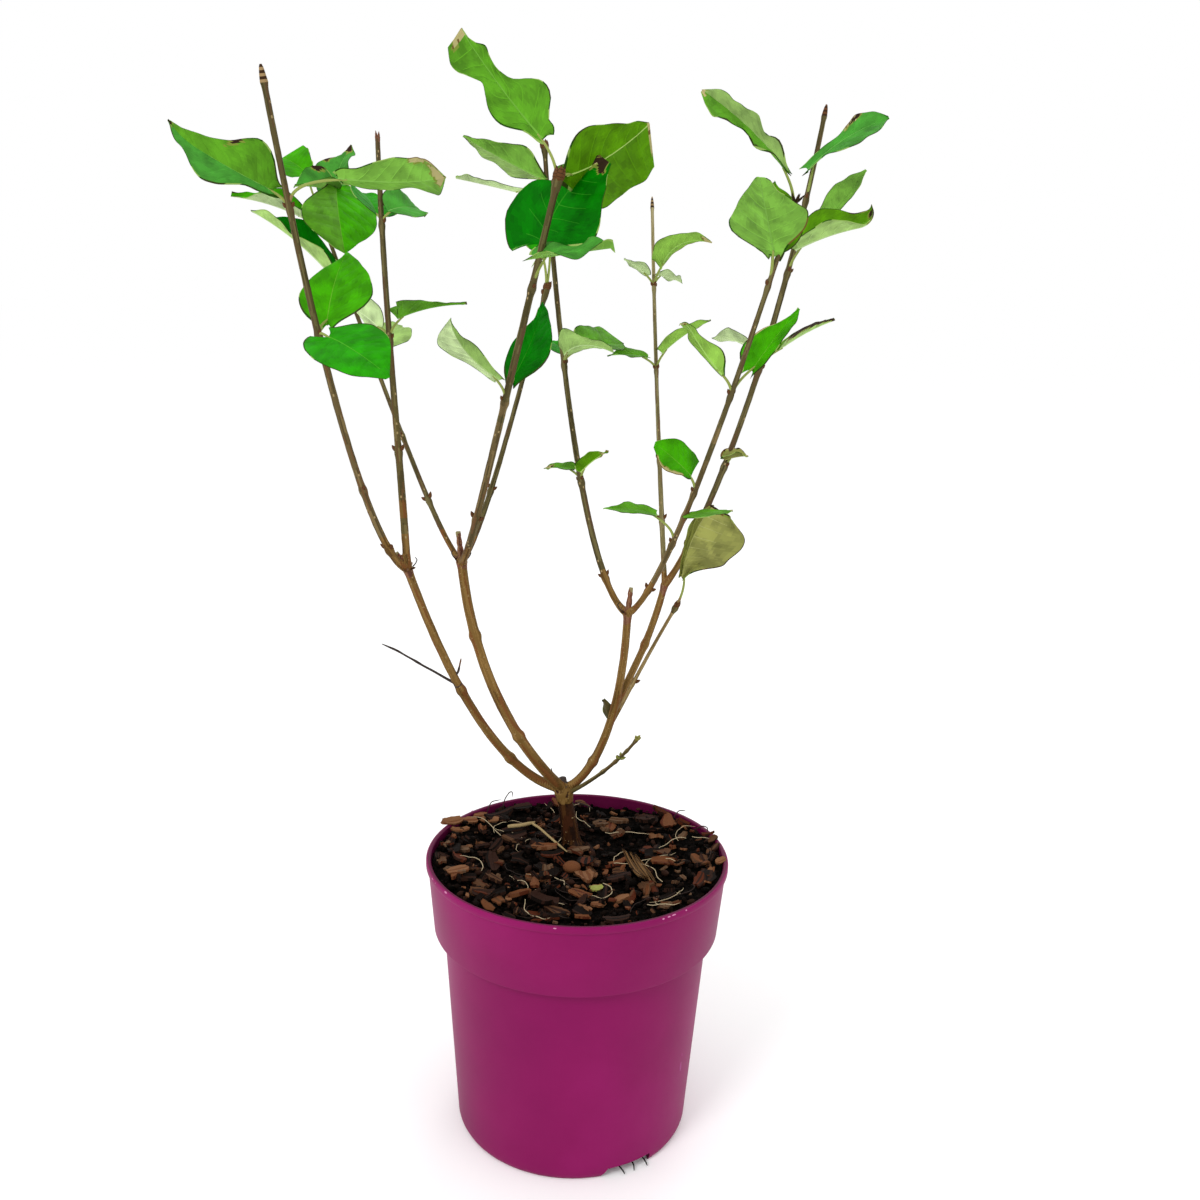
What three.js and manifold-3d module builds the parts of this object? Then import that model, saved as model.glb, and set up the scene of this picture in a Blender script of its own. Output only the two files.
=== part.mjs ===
// A young lilac bush in a plastic nursery pot, as one scene graph of closed solids.
//
// Lengths are millimetres and angles are degrees. +Z is up, and the origin is the centre of the
// pot's underside. A heading is read from above, 0 along +X and 90 along +Y. A lift is an angle
// above level.

import * as THREE from "three";
import { mergeVertices } from "three/addons/utils/BufferGeometryUtils.js";
import Module from "manifold-3d";

const wasm = await Module();
wasm.setup();

// ---- Driving dimensions: pot and compost ----

const POT = {
  height: 162,
  rimRadius: 85,
  lipHeight: 4,
  collarTopRadius: 83.8,
  collarFootRadius: 80.5,
  collarFootHeight: 120.5,
  bodyTopRadius: 74.8,
  bodyTopHeight: 119,
  bodyFootRadius: 66.8,
  bodyFootHeight: 3,
  footRadius: 65.5,
  wall: 1.5,
  channelHeight: 6.5,
  channelInnerRadius: 46,
  sides: 32,
};
const NOTCH = { height: 5.5, widthAtFoot: 31, chamfer: 3, headings: [-61, 119] };
const COMPOST = { clearance: 0.3, level: 152.6, dip: 5, calmRadius: 20, sides: 24 };
const CHIPS = { count: 20, long: [11, 25], wide: [5, 11], thick: [1.8, 3.6], lift: 1.6, tilt: 24 };

// ---- Driving dimensions: wood ----

const GAP = 0.3; // between the flat cut ends of two limbs
// The trunk leans from its foot to the crotch. Its profile is [height above the foot, radius]
// pairs that start below the compost's surface, where the foot is cut level.
const TRUNK = {
  foot: [-3.4, 28.7, 153],
  heading: 190,
  lean: 6,
  height: 36,
  profile: [[-4, 8.4], [0, 7], [3, 5.6], [8, 4.6], [18, 4.1], [27, 4.3], [33, 5.6], [36, 5.2], [39.5, 3]],
  brokenTop: { heading: 120, reach: 1, rise: 10, radius: [2.6, 1.6] },
  sides: 10,
};
const KNOT = { swell: 1.35, halfLength: 3 };
const SIDES = { bough: 6, shoot: 5, stalk: 3 };
const RING_STEP = { bough: 17, shoot: 30 };

// Each limb grows from the tip of another, or from a place along it, and its radius tapers.
// climb bends it: 1 rises evenly, more than 1 starts level and turns upwards. sway bows it sideways.
const BOUGHS = {
  left: {
    from: ["crotch"], heading: -161, reach: 90, rise: 136, climb: 1.8, sway: -14,
    radius: [2.8, 2.3], collar: 9, knots: [0.32, 0.64],
    stub: { heading: 185, reach: 6, rise: 8, radius: [1.8, 1.6] },
    twig: { at: 0.66, heading: -172, reach: 42, rise: 25, climb: 1.1, sway: -3, radius: [0.8, 0.5] },
  },
  centre_left: {
    from: ["crotch"], heading: 161, reach: 65, rise: 130, climb: 1.04, sway: 26,
    radius: [3.1, 2.8], collar: 9, knots: [0.3, 0.72],
    stub: { heading: 200, reach: 2, rise: 17, radius: [1.6, 1.4] },
  },
  right: {
    from: ["crotch"], heading: -36, reach: 41, rise: 113, climb: 1.6, sway: 14,
    radius: [2.7, 2.2], collar: 9, knots: [0.3],
    stub: { heading: 20, reach: 1.5, rise: 14, radius: [1.6, 1.3] },
  },
  rear_right: {
    from: ["right", 0.6], heading: 36, reach: 34, rise: 70, climb: 0.88, sway: -5,
    radius: [2.1, 2], collar: 13, knots: [0.5],
  },
};
const TWIG_AT_CROTCH = {
  from: ["crotch", -4], heading: -51, reach: 63, rise: 54, climb: 1.1, sway: 6,
  radius: [1.3, 0.8], collar: 9, knots: [0.45, 0.62, 0.8],
};

// ---- Driving dimensions: foliage ----

const BLADE = { thickness: 0.012, thinnest: 0.6, edge: 0.45, lobe: 0.16, stalkRadius: [0.95, 0.75], sunk: 2.5 };
const BLADE_FACETS = [[46, 5, 4], [38, 5, 2], [0, 4, 2]]; // [shortest blade, facets along, facets across]

// A leaf stands at a place along its shoot. Its stalk is [heading, lift, length], its blade's
// midrib is [heading, lift, roll] and its size is [long, wide]. droop arches the midrib, bow
// curves it to the left, fold lifts the margins, wave ripples them and waist narrows the blade
// beyond its middle.
const leaf = (at, stalk, blade, size, form = {}) => ({
  at, stalk, blade, size, droop: 24, bow: 0, fold: 14, wave: 0.05, waist: 0, peak: 0.36, ...form,
});

const SHOOTS = {
  far_left: {
    from: ["left"], heading: -121, reach: 92, rise: 233, climb: 1.53, sway: -2,
    radius: [2, 1.35], collar: 10, leafyFrom: 0.6, knots: [0.14, 0.34], tip: "bud",
    leaves: [
      leaf(0.83, [180, 49, 12], [-150, 32, -61], [52, 31], { wave: 0.04, waist: 0.1, bow: 0.06 }),
      leaf(0.83, [-23, 36, 19], [-18, -5, -16], [60, 42], { fold: 8, wave: 0.05, droop: 34 }),
      leaf(0.65, [63, 32, 8], [83, 47, -7], [47, 42], { fold: 6, wave: 0.02 }),
      leaf(0.65, [-40, -2, 8], [-47, -17, 25], [52, 46], { fold: 4, wave: 0.03 }),
    ],
  },
  left: {
    from: ["left"], heading: 119, reach: 36, rise: 218, climb: 0.8, sway: 2,
    radius: [2, 1.2], collar: 10, leafyFrom: 0.4, knots: [0.2], tip: "bud",
    leaves: [
      leaf(0.76, [-45, 51, 9], [60, 1, 35], [30, 24], { droop: 50 }),
      leaf(0.76, [119, 36, 9], [115, 22, 19], [36, 28]),
      leaf(0.46, [-40, 58, 12], [21, 12, -10], [38, 24], { fold: 26 }),
      leaf(0.46, [125, 29, 11], [145, 26, 61], [28, 24]),
    ],
  },
  rear_left: {
    from: ["centre_left"], heading: 142, reach: 116, rise: 192, climb: 1.56, sway: -10,
    radius: [1.7, 1.1], collar: 12, leafyFrom: 0.62, knots: [0.3, 0.5], tip: "knuckle",
    leaves: [
      leaf(0.98, [-46, 38, 24], [-73, -46, -28], [52, 44], { fold: 6, wave: 0.03 }),
      leaf(0.98, [-155, 16, 12], [-166, 14, 26], [42, 26], { fold: 30 }),
      leaf(0.87, [-139, 15, 8], [-165, 38, 27], [57, 28], { fold: 34, wave: 0.08 }),
      leaf(0.98, [91, 62, 17], [154, 37, -23], [42, 34]),
      leaf(0.98, [0, 73, 17], [49, 63, 4], [34, 30], { wave: 0.1 }),
      leaf(0.98, [-50, 50, 24], [-140, 1, -24], [26, 22], { fold: 40 }),
      leaf(0.7, [60, 30, 11], [80, 20, 10], [38, 26]),
    ],
  },
  centre: {
    from: ["centre_left"], heading: -61, reach: 113, rise: 202, climb: 1.68, sway: -8,
    radius: [2.1, 1.6], collar: 13, leafyFrom: 0.58, knots: [0.32], tip: "knuckle",
    leaves: [
      leaf(0.64, [-109, 54, 14], [-146, 43, 26], [42, 30], { waist: 0.2, wave: 0.06 }),
      leaf(0.64, [77, 47, 13], [59, 54, -2], [48, 37], { bow: -0.06 }),
      leaf(0.84, [79, 54, 21], [25, 53, 55], [58, 46], { fold: 4, wave: 0.05 }),
      leaf(0.84, [-65, 50, 14], [-38, 11, 32], [45, 34], { fold: 24, wave: 0.14 }),
      leaf(0.98, [180, 64, 17], [166, 50, 71], [68, 31], { waist: 0.42, wave: 0.05, fold: 8, bow: 0.07 }),
      leaf(0.98, [80, 10, 14], [21, 31, -58], [54, 42], { fold: 6, wave: 0.05 }),
    ],
  },
  rear_centre: {
    from: ["centre_left"], heading: -5, reach: 47, rise: 154, climb: 1.4, sway: -13,
    radius: [1.6, 1.2], collar: 13, leafyFrom: 0.8, knots: [0.4], tip: "knuckle",
    leaves: [
      leaf(0.97, [20, 70, 14], [25, 66, 30], [30, 24]),
      leaf(0.97, [185, 62, 14], [160, 60, 20], [34, 28]),
    ],
  },
  inner_right: {
    from: ["right"], heading: 128, reach: 84, rise: 246, climb: 1.69, sway: 4,
    radius: [1.9, 1.3], collar: 12, leafyFrom: 0.4, knots: [0.2], tip: "knuckle",
    leaves: [
      leaf(0.94, [180, 19, 4], [-159, 22, 28], [45, 28], { fold: 20 }),
      leaf(0.94, [-180, -3, 13], [-150, 5, 10], [38, 18], { fold: 30 }),
      leaf(0.94, [20, 30, 9], [30, 25, 10], [44, 28]),
      leaf(0.68, [-88, 54, 10], [-23, 4, -31], [38, 24], { fold: 24 }),
      leaf(0.68, [39, 43, 13], [49, 11, 22], [42, 32]),
      leaf(0.68, [83, 35, 10], [116, 15, -4], [27, 20]),
      leaf(0.46, [-98, 52, 8], [-33, 36, -13], [22, 13], { fold: 24 }),
      leaf(0.46, [129, 46, 9], [155, -3, -13], [19, 12]),
    ],
  },
  right: {
    from: ["right"], heading: -52, reach: 104, rise: 208, climb: 1.41, sway: -1,
    radius: [1.7, 1.1], collar: 12, leafyFrom: 0.28, knots: [0.16], tip: "knuckle",
    leaves: [
      leaf(0.47, [-122, 62, 10], [-136, 36, -85], [33, 26], { fold: 4 }),
      leaf(0.41, [-85, 15, 5], [22, 3, 18], [27, 14]),
      leaf(0.33, [-146, 55, 19], [-156, 11, -25], [30, 15], { wave: 0.1 }),
      leaf(0.68, [-132, 53, 13], [-150, 44, 20], [35, 24], { fold: 20 }),
      leaf(0.68, [39, 47, 14], [30, 47, 18], [42, 26]),
      leaf(0.87, [-85, 72, 15], [-109, 40, -11], [48, 44], { fold: 6, wave: 0.04 }),
      leaf(0.87, [60, 60, 9], [75, 58, 5], [36, 28]),
      leaf(0.98, [-153, 75, 17], [-160, 35, -66], [52, 24], { waist: 0.2, wave: 0.08 }),
    ],
  },
  rear_right: {
    from: ["rear_right"], heading: 98, reach: 82, rise: 218, climb: 0.97, sway: 1,
    radius: [1.5, 0.9], collar: 10, leafyFrom: 0.48, knots: [0.15, 0.3], tip: "bud",
    leaves: [
      leaf(0.53, [-150, 52, 10], [-161, 2, -19], [25, 14]),
      leaf(0.53, [-41, 73, 11], [-21, 33, -19], [35, 18], { fold: 26 }),
      leaf(0.75, [180, 63, 8], [-158, 28, 23], [18, 10]),
      leaf(0.75, [-48, 61, 11], [-23, 26, -34], [35, 22], { droop: 50 }),
      leaf(0.75, [74, 61, 9], [37, -11, -12], [21, 12], { wave: 0.1 }),
    ],
  },
  far_right: {
    from: ["rear_right"], heading: 12, reach: 79, rise: 262, climb: 1.16, sway: -23,
    radius: [1.9, 1.3], collar: 11, leafyFrom: 0.27, knots: [0.12], tip: "bud",
    leaves: [
      leaf(0.32, [-93, 59, 6], [-16, 25, 15], [15, 8], { wave: 0.1 }),
      leaf(0.52, [22, 48, 16], [20, 27, 8], [40, 18], { fold: 34 }),
      leaf(0.52, [128, 59, 15], [144, 7, 29], [24, 18]),
      leaf(0.7, [30, 56, 28], [23, 48, 21], [48, 24], { fold: 20, bow: -0.08 }),
      leaf(0.7, [-82, 49, 15], [-35, 32, -21], [52, 30], { wave: 0.1, fold: 24 }),
      leaf(0.83, [-118, 78, 14], [-17, 34, 40], [52, 28], { waist: 0.3, wave: 0.08, bow: -0.1 }),
    ],
  },
  short_right: {
    from: ["right", 0.52], heading: 13, reach: 38, rise: 71, climb: 1.25, sway: 7,
    radius: [1.3, 1], collar: 10, leafyFrom: 0.8, knots: [0.4], tip: "knuckle",
    leaves: [
      leaf(0.97, [-50, 60, 18], [-8, 66, 34], [49, 42], { wave: 0.08, droop: 40, bow: -0.12 }),
    ],
  },
};

// ---- Materials ----

const finish = (color, roughness) => new THREE.MeshStandardMaterial({ color, roughness, metalness: 0 });
const POT_PLASTIC = finish("#8c2360", 0.42);
const MOIST_COMPOST = finish("#2e2019", 0.95);
const OLD_BARK = finish("#8a6543", 0.8);
const YOUNG_BARK = finish("#6d5f45", 0.75);
const LEAF_GREEN = finish("#4d9a2b", 0.6);

// ---- Small helpers ----

const SLIVER = 0.02; // edges shorter than this are closed up
const UP = new THREE.Vector3(0, 0, 1);
const radians = THREE.MathUtils.degToRad;
const { lerp, clamp } = THREE.MathUtils;

function direction(heading, lift = 0) {
  const [h, l] = [radians(heading), radians(lift)];
  return new THREE.Vector3(Math.cos(h) * Math.cos(l), Math.sin(h) * Math.cos(l), Math.sin(l));
}

// A repeatable sequence of numbers from 0 to 1.
function randomSource(seed) {
  let state = seed;
  return () => {
    state = (Math.imul(state, 1664525) + 1013904223) >>> 0;
    return state / 2 ** 32;
  };
}

function between([low, high], share) {
  return lerp(low, high, share);
}

// A closed three.js geometry as a solid, with its shared vertices joined.
function solid(geometry) {
  const bare = geometry.clone();
  bare.deleteAttribute("normal");
  bare.deleteAttribute("uv");
  const joined = mergeVertices(bare, 1e-4);
  return new wasm.Manifold(
    new wasm.Mesh({
      numProp: 3,
      vertProperties: new Float32Array(joined.attributes.position.array),
      triVerts: new Uint32Array(joined.index.array),
    }),
  );
}

function fuse(solids) {
  return solids.reduce((whole, piece) => whole.add(piece));
}

// The largest body of a fused solid, without the slivers that fusing leaves: loose scraps too
// small to hold are dropped.
function mainBody(fused) {
  const bodies = fused.simplify(SLIVER).decompose();
  return bodies.reduce((best, body) => (body.volume() > best.volume() ? body : best));
}

function meshOf(name, fused, material) {
  const { numProp, vertProperties, triVerts } = mainBody(fused).getMesh();
  const corners = new THREE.InterleavedBuffer(vertProperties, numProp);
  const geometry = new THREE.BufferGeometry();
  geometry.setAttribute("position", new THREE.InterleavedBufferAttribute(corners, 3, 0));
  geometry.setIndex(new THREE.BufferAttribute(triVerts, 1));
  const flat = geometry.toNonIndexed();
  flat.computeVertexNormals();
  const mesh = new THREE.Mesh(flat, material);
  mesh.name = name;
  return mesh;
}

// A profile of [radius, height] pairs turned about the vertical axis.
function turned(profile, sides) {
  const outline = profile.map(([radius, height]) => new THREE.Vector2(radius, height));
  return new THREE.LatheGeometry(outline, sides).rotateX(Math.PI / 2);
}

// ---- Pot and compost ----

function potSolid() {
  const p = POT;
  const inside = p.wall;
  const channel = p.channelInnerRadius;
  const floorTop = p.channelHeight + p.wall;
  const shell = turned(
    [
      [0, 0],
      [channel, 0],
      [channel + 2, p.channelHeight],
      [p.footRadius - inside, p.channelHeight],
      [p.footRadius - inside - 0.3, 0],
      [p.footRadius - 0.6, 0],
      [p.footRadius, 0.6],
      [p.bodyFootRadius, p.bodyFootHeight],
      [p.bodyTopRadius, p.bodyTopHeight],
      [p.collarFootRadius, p.collarFootHeight],
      [p.collarTopRadius, p.height - p.lipHeight],
      [p.rimRadius, p.height - p.lipHeight + 0.4],
      [p.rimRadius, p.height - 0.5],
      [p.rimRadius - 0.5, p.height],
      [p.collarTopRadius - inside, p.height],
      [p.collarTopRadius - inside, p.height - p.lipHeight],
      [p.collarFootRadius - inside, p.collarFootHeight + inside],
      [p.bodyTopRadius - inside, p.bodyTopHeight + inside],
      [p.bodyFootRadius - inside, floorTop],
      [channel + 1.2, floorTop],
      [channel - 0.8, p.wall],
      [0, p.wall],
    ],
    p.sides,
  );
  const cuts = NOTCH.headings.map((heading) => footNotch(heading));
  return solid(shell).subtract(fuse(cuts));
}

// The wedge that opens the foot ring, wider at the floor on one side where its end is chamfered.
function footNotch(heading) {
  const half = NOTCH.widthAtFoot / 2;
  const outline = new THREE.Shape([
    new THREE.Vector2(-half, -1),
    new THREE.Vector2(half - 1, -1),
    new THREE.Vector2(half - 1, NOTCH.height),
    new THREE.Vector2(-half + NOTCH.chamfer, NOTCH.height),
    new THREE.Vector2(-half, 1),
  ]);
  const wedge = new THREE.ExtrudeGeometry(outline, { depth: 20, bevelEnabled: false });
  wedge.rotateX(Math.PI / 2).translate(0, -POT.channelInnerRadius - 6, 0);
  return solid(wedge.rotateZ(radians(heading + 90)));
}

// How far the compost's surface lies below its level: gentle hollows, none close to the trunk.
function compostDip(x, y) {
  const [trunkX, trunkY] = TRUNK.foot;
  const away = clamp(Math.hypot(x - trunkX, y - trunkY) / COMPOST.calmRadius - 1, 0, 1);
  const hollows = 0.5 + 0.3 * Math.sin(x / 13 + 1) + 0.2 * Math.cos(y / 9 - x / 17);
  return COMPOST.dip * away * hollows;
}

function compostSolid() {
  const c = COMPOST.clearance;
  const inner = POT.wall + c;
  const edgeLevel = COMPOST.level - 1;
  const edge = lerp(POT.collarFootRadius, POT.collarTopRadius, 0.8) - inner;
  const body = turned(
    [
      [0, POT.wall + c],
      [POT.channelInnerRadius - 1.2, POT.wall + c],
      [POT.channelInnerRadius + 0.8, POT.channelHeight + POT.wall + c],
      [POT.bodyFootRadius - inner, POT.channelHeight + POT.wall + c],
      [POT.bodyTopRadius - inner, POT.bodyTopHeight + POT.wall + 2 * c],
      [POT.collarFootRadius - inner, POT.collarFootHeight + POT.wall + 2 * c],
      [edge, edgeLevel],
      [edge - 9, COMPOST.level],
      [55, COMPOST.level],
      [38, COMPOST.level],
      [20, COMPOST.level],
      [0, COMPOST.level],
    ],
    COMPOST.sides,
  );
  const places = body.attributes.position;
  for (let i = 0; i < places.count; i++) {
    const [x, y, z] = [places.getX(i), places.getY(i), places.getZ(i)];
    if (z > edgeLevel + 0.5) places.setZ(i, z - compostDip(x, y));
  }
  return fuse([solid(body), ...barkChips(edge - 1)]);
}

// Angular chips of bark that lie tilted on the compost, clear of the trunk and the pot's wall.
function barkChips(reach) {
  const random = randomSource(11);
  const chips = [];
  while (chips.length < CHIPS.count) {
    const size = [between(CHIPS.long, random()), between(CHIPS.wide, random()), between(CHIPS.thick, random())];
    const away = Math.sqrt(random()) * (reach - size[0] / 2);
    const spot = direction(360 * random()).multiplyScalar(away);
    const turn = 360 * random();
    const tilts = [random(), random()].map((share) => between([-CHIPS.tilt, CHIPS.tilt], share));
    const lift = CHIPS.lift * random();
    if (Math.hypot(spot.x - TRUNK.foot[0], spot.y - TRUNK.foot[1]) < 10 + size[0] / 2) continue;
    const chip = new THREE.BoxGeometry(...size);
    const corners = chip.attributes.position;
    for (let i = 0; i < corners.count; i++) {
      const slant = corners.getX(i) * corners.getY(i) * corners.getZ(i) > 0 ? 0.72 : 1;
      corners.setXY(i, corners.getX(i) * slant, corners.getY(i) * slant);
    }
    chip.rotateX(radians(tilts[0])).rotateY(radians(tilts[1])).rotateZ(radians(turn));
    chip.translate(spot.x, spot.y, COMPOST.level - compostDip(spot.x, spot.y) + lift);
    chips.push(solid(chip));
  }
  return chips;
}

// ---- Limbs ----

// A limb's centre line from its start.
class LimbCurve extends THREE.Curve {
  constructor(start, { heading, reach, rise, climb = 1, sway = 0 }) {
    super();
    Object.assign(this, { start, rise, climb, sway });
    this.out = direction(heading).multiplyScalar(reach);
    this.side = direction(heading + 90);
  }

  getPoint(t, target = new THREE.Vector3()) {
    return target
      .copy(this.start)
      .addScaledVector(this.out, t)
      .addScaledVector(this.side, 4 * t * (1 - t) * this.sway)
      .addScaledVector(UP, this.rise * t ** this.climb);
  }
}

// The share of a curve that lies before a given length of it.
function shareAt(curve, length) {
  return curve.getUtoTmapping(0, length);
}

// A post turned on a lathe with one ring for each [t, radius] station, then bent along a curve.
function bentPost(curve, side, stations, sides) {
  const last = stations.length - 1;
  const profile = [new THREE.Vector2(0, 0)];
  stations.forEach(([, radius], ring) => profile.push(new THREE.Vector2(radius, ring)));
  profile.push(new THREE.Vector2(0, last));
  const post = new THREE.LatheGeometry(profile, sides);
  const frames = stations.map(([t]) => {
    const along = curve.getTangent(t);
    const across = side.clone().addScaledVector(along, -side.dot(along)).normalize();
    return { centre: curve.getPoint(t), across, facing: along.cross(across) };
  });
  const corners = post.attributes.position;
  for (let i = 0; i < corners.count; i++) {
    const { centre, across, facing } = frames[Math.round(corners.getY(i))];
    const place = centre.clone();
    place.addScaledVector(facing, corners.getX(i)).addScaledVector(across, corners.getZ(i));
    corners.setXYZ(i, ...place.toArray());
  }
  return solid(post);
}

// The rings of a tapering limb between two shares of its curve, with a swelling at each knot.
function taperedStations(curve, limb, from, to, step, endRings = []) {
  const length = curve.getLength();
  const [thick, thin] = limb.radius;
  const width = (t) => lerp(thick, thin, t);
  const knots = limb.knots.filter((t) => t > from + 6 / length && t < to - 6 / length);
  const stations = knots.flatMap((t) => [
    [t - KNOT.halfLength / length, width(t)],
    [t, width(t) * KNOT.swell],
    [t + KNOT.halfLength / length, width(t)],
  ]);
  const count = Math.max(2, Math.round(((to - from) * length) / step));
  for (let i = 0; i <= count; i++) {
    const t = lerp(from, to, i / count);
    const clear = knots.every((knot) => Math.abs(knot - t) > (KNOT.halfLength + 3) / length);
    if (clear) stations.push([t, width(t)]);
  }
  return [...stations.sort((a, b) => a[0] - b[0]), ...endRings];
}

function plainLimb(curve, limb, from, to, sides, step) {
  return bentPost(curve, curve.side, taperedStations(curve, limb, from, to, step), sides);
}

// The short start of a limb that belongs to its parent, cut flat where the limb begins.
function collar(curve, limb, sides) {
  const end = shareAt(curve, limb.collar);
  const radius = limb.radius[0];
  return bentPost(curve, curve.side, [[0, radius * 1.1], [end * 0.6, radius * 1.15], [end, radius]], sides);
}

// Where a limb begins: past its parent's collar and the gap.
function limbStart(curve, limb) {
  return shareAt(curve, limb.collar + GAP);
}

// A place on the trunk's axis, at a height above its foot.
function trunkPlace(height) {
  const place = new THREE.Vector3(...TRUNK.foot).addScaledVector(UP, height);
  return place.addScaledVector(direction(TRUNK.heading), (TRUNK.lean * height) / TRUNK.height);
}

const crotch = trunkPlace(TRUNK.height);
const curves = new Map();

function startOf([parent, place]) {
  if (parent === "crotch") return crotch.clone().addScaledVector(UP, place ?? 0);
  return curves.get(parent).getPoint(place ?? 1);
}

for (const [name, bough] of Object.entries(BOUGHS)) {
  curves.set(name, new LimbCurve(startOf(bough.from), bough));
}

// Everything that grows from a parent, as [curve, limb] pairs.
function growthOn(parent) {
  const limbs = [...Object.values(BOUGHS), ...Object.values(SHOOTS), TWIG_AT_CROTCH];
  return limbs
    .filter((limb) => limb.from[0] === parent)
    .map((limb) => [new LimbCurve(startOf(limb.from), limb), limb]);
}

function collarsOn(parent, sides) {
  return growthOn(parent).map(([curve, limb]) => collar(curve, limb, sides));
}

// A pruned end: a short post, cut flat, that stands on a fork.
function stubSolid(start, stub, sides) {
  const curve = new LimbCurve(start, stub);
  return bentPost(curve, curve.side, [[0, stub.radius[0]], [0.6, stub.radius[1]], [1, stub.radius[1] * 1.1]], sides);
}

function trunkSolid() {
  const heights = TRUNK.profile.map(([height]) => height);
  const [low, high] = [Math.min(...heights), Math.max(...heights)];
  const axis = new THREE.LineCurve3(trunkPlace(low), trunkPlace(high));
  const stations = TRUNK.profile.map(([height, radius]) => [(height - low) / (high - low), radius]);
  const stem = bentPost(axis, direction(TRUNK.heading + 90), stations, TRUNK.sides);
  const ground = new THREE.BoxGeometry(40, 40, 20).translate(TRUNK.foot[0], TRUNK.foot[1], TRUNK.foot[2] - 10);
  const brokenTop = stubSolid(crotch, TRUNK.brokenTop, SIDES.shoot);
  return fuse([stem, brokenTop, ...collarsOn("crotch", SIDES.bough)]).subtract(solid(ground));
}

function boughSolid(name, bough) {
  const curve = curves.get(name);
  const tip = curve.getPoint(1);
  const length = curve.getLength();
  const thin = bough.radius[1];
  const forkRings = [[1 - 5 / length, thin], [1 - 1 / length, thin * 1.3], [1, thin * 0.95]];
  const stations = taperedStations(curve, bough, limbStart(curve, bough), 1 - 14 / length, RING_STEP.bough, forkRings);
  const pieces = [bentPost(curve, curve.side, stations, SIDES.bough), ...collarsOn(name, SIDES.shoot)];
  if (bough.stub) pieces.push(stubSolid(tip, bough.stub, SIDES.shoot));
  if (bough.twig) {
    const twig = new LimbCurve(curve.getPoint(bough.twig.at), bough.twig);
    pieces.push(plainLimb(twig, { ...bough.twig, knots: [] }, 0, 1, SIDES.stalk, 12));
  }
  return fuse(pieces);
}

// ---- Foliage ----

// The blade's half width along its midrib, from 0 at both ends to 1 at its widest.
function outline(s, { peak, waist }) {
  const round = Math.sin(Math.PI * s ** (Math.log(0.5) / Math.log(peak))) ** 0.85;
  const narrowing = waist * Math.exp(-(((s - 0.62) / 0.13) ** 2));
  return round * (1 - 0.25 * s ** 4) * (1 - narrowing);
}

// Where a blade's points lie: s runs from its base to its tip, v from its right margin at -1 to
// its left at 1, and height is above its middle surface.
function bladePlacer(base, spec, random) {
  const [long, wide] = spec.size;
  const [heading, lift, roll] = spec.blade;
  const along = direction(heading, lift);
  const right = direction(heading - 90);
  const upright = new THREE.Vector3().crossVectors(right, along);
  const up = upright.multiplyScalar(Math.cos(radians(roll))).addScaledVector(right, Math.sin(radians(roll)));
  const left = new THREE.Vector3().crossVectors(up, along);
  const bend = radians(spec.droop);
  const stretch = (long * (bend / 2)) / Math.sin(bend / 2);
  const fold = Math.tan(radians(spec.fold));
  const phases = [random(), random()];
  return (s, v, height) => {
    const half = Math.max(BLADE.edge, 0.5 * wide * outline(s, spec));
    const turn = bend * (0.5 - s);
    const ripple = Math.sin(2 * Math.PI * (1.6 * s + phases[v > 0 ? 1 : 0])) * s ** 0.5;
    const heartLobe = BLADE.lobe * long * v * v * (1 - s) ** 4 * s ** 0.25;
    const x = (stretch * (Math.sin(bend / 2) - Math.sin(turn))) / bend - heartLobe;
    const y = half * v + 4 * s * (1 - s) * spec.bow * long;
    const arch = (stretch * (Math.cos(turn) - Math.cos(bend / 2))) / bend;
    const z = arch + half * Math.abs(v) * fold + spec.wave * long * v * v * ripple + height;
    return base.clone().addScaledVector(along, x).addScaledVector(left, y).addScaledVector(up, z);
  };
}

// A thin box pushed into the shape of a blade. Its lower face is cut along the same diagonals as
// its upper one, so the two keep apart where the blade twists.
function bladeSolid(place, long) {
  const [, lengthwise, crosswise] = BLADE_FACETS.find(([shortest]) => long >= shortest);
  const thickness = Math.max(BLADE.thinnest, BLADE.thickness * long);
  const box = new THREE.BoxGeometry(1, 2, thickness, lengthwise, crosswise, 1).translate(0.5, 0, 0);
  const lower = box.groups.at(-1);
  const order = box.index.array;
  for (let i = lower.start; i < lower.start + lower.count; i += 6) {
    const [a, b, d, , c] = order.slice(i, i + 6);
    order.set([a, b, c, a, c, d], i);
  }
  const corners = box.attributes.position;
  for (let i = 0; i < corners.count; i++) {
    corners.setXYZ(i, ...place(corners.getX(i), corners.getY(i), corners.getZ(i)).toArray());
  }
  return solid(box);
}

// A stalk that leaves the shoot along it, arches out and runs a little way into its blade.
function leafSolid(curve, spec, random) {
  const node = curve.getPoint(spec.at);
  const [heading, lift, length] = spec.stalk;
  const place = bladePlacer(node.clone().addScaledVector(direction(heading, lift), length), spec, random);
  const armpit = node.clone().addScaledVector(curve.getTangent(spec.at), 0.5 * length);
  const end = place(BLADE.sunk / spec.size[0], 0, 0);
  const side = armpit.clone().sub(node).cross(end.clone().sub(node)).normalize();
  const [thick, thin] = BLADE.stalkRadius;
  const stations = [[0, thick], [0.5, thin], [1, thin * 0.8]];
  const stalk = bentPost(new THREE.QuadraticBezierCurve3(node, armpit, end), side, stations, SIDES.stalk);
  return [stalk, bladeSolid(place, spec.size[0])];
}

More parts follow.
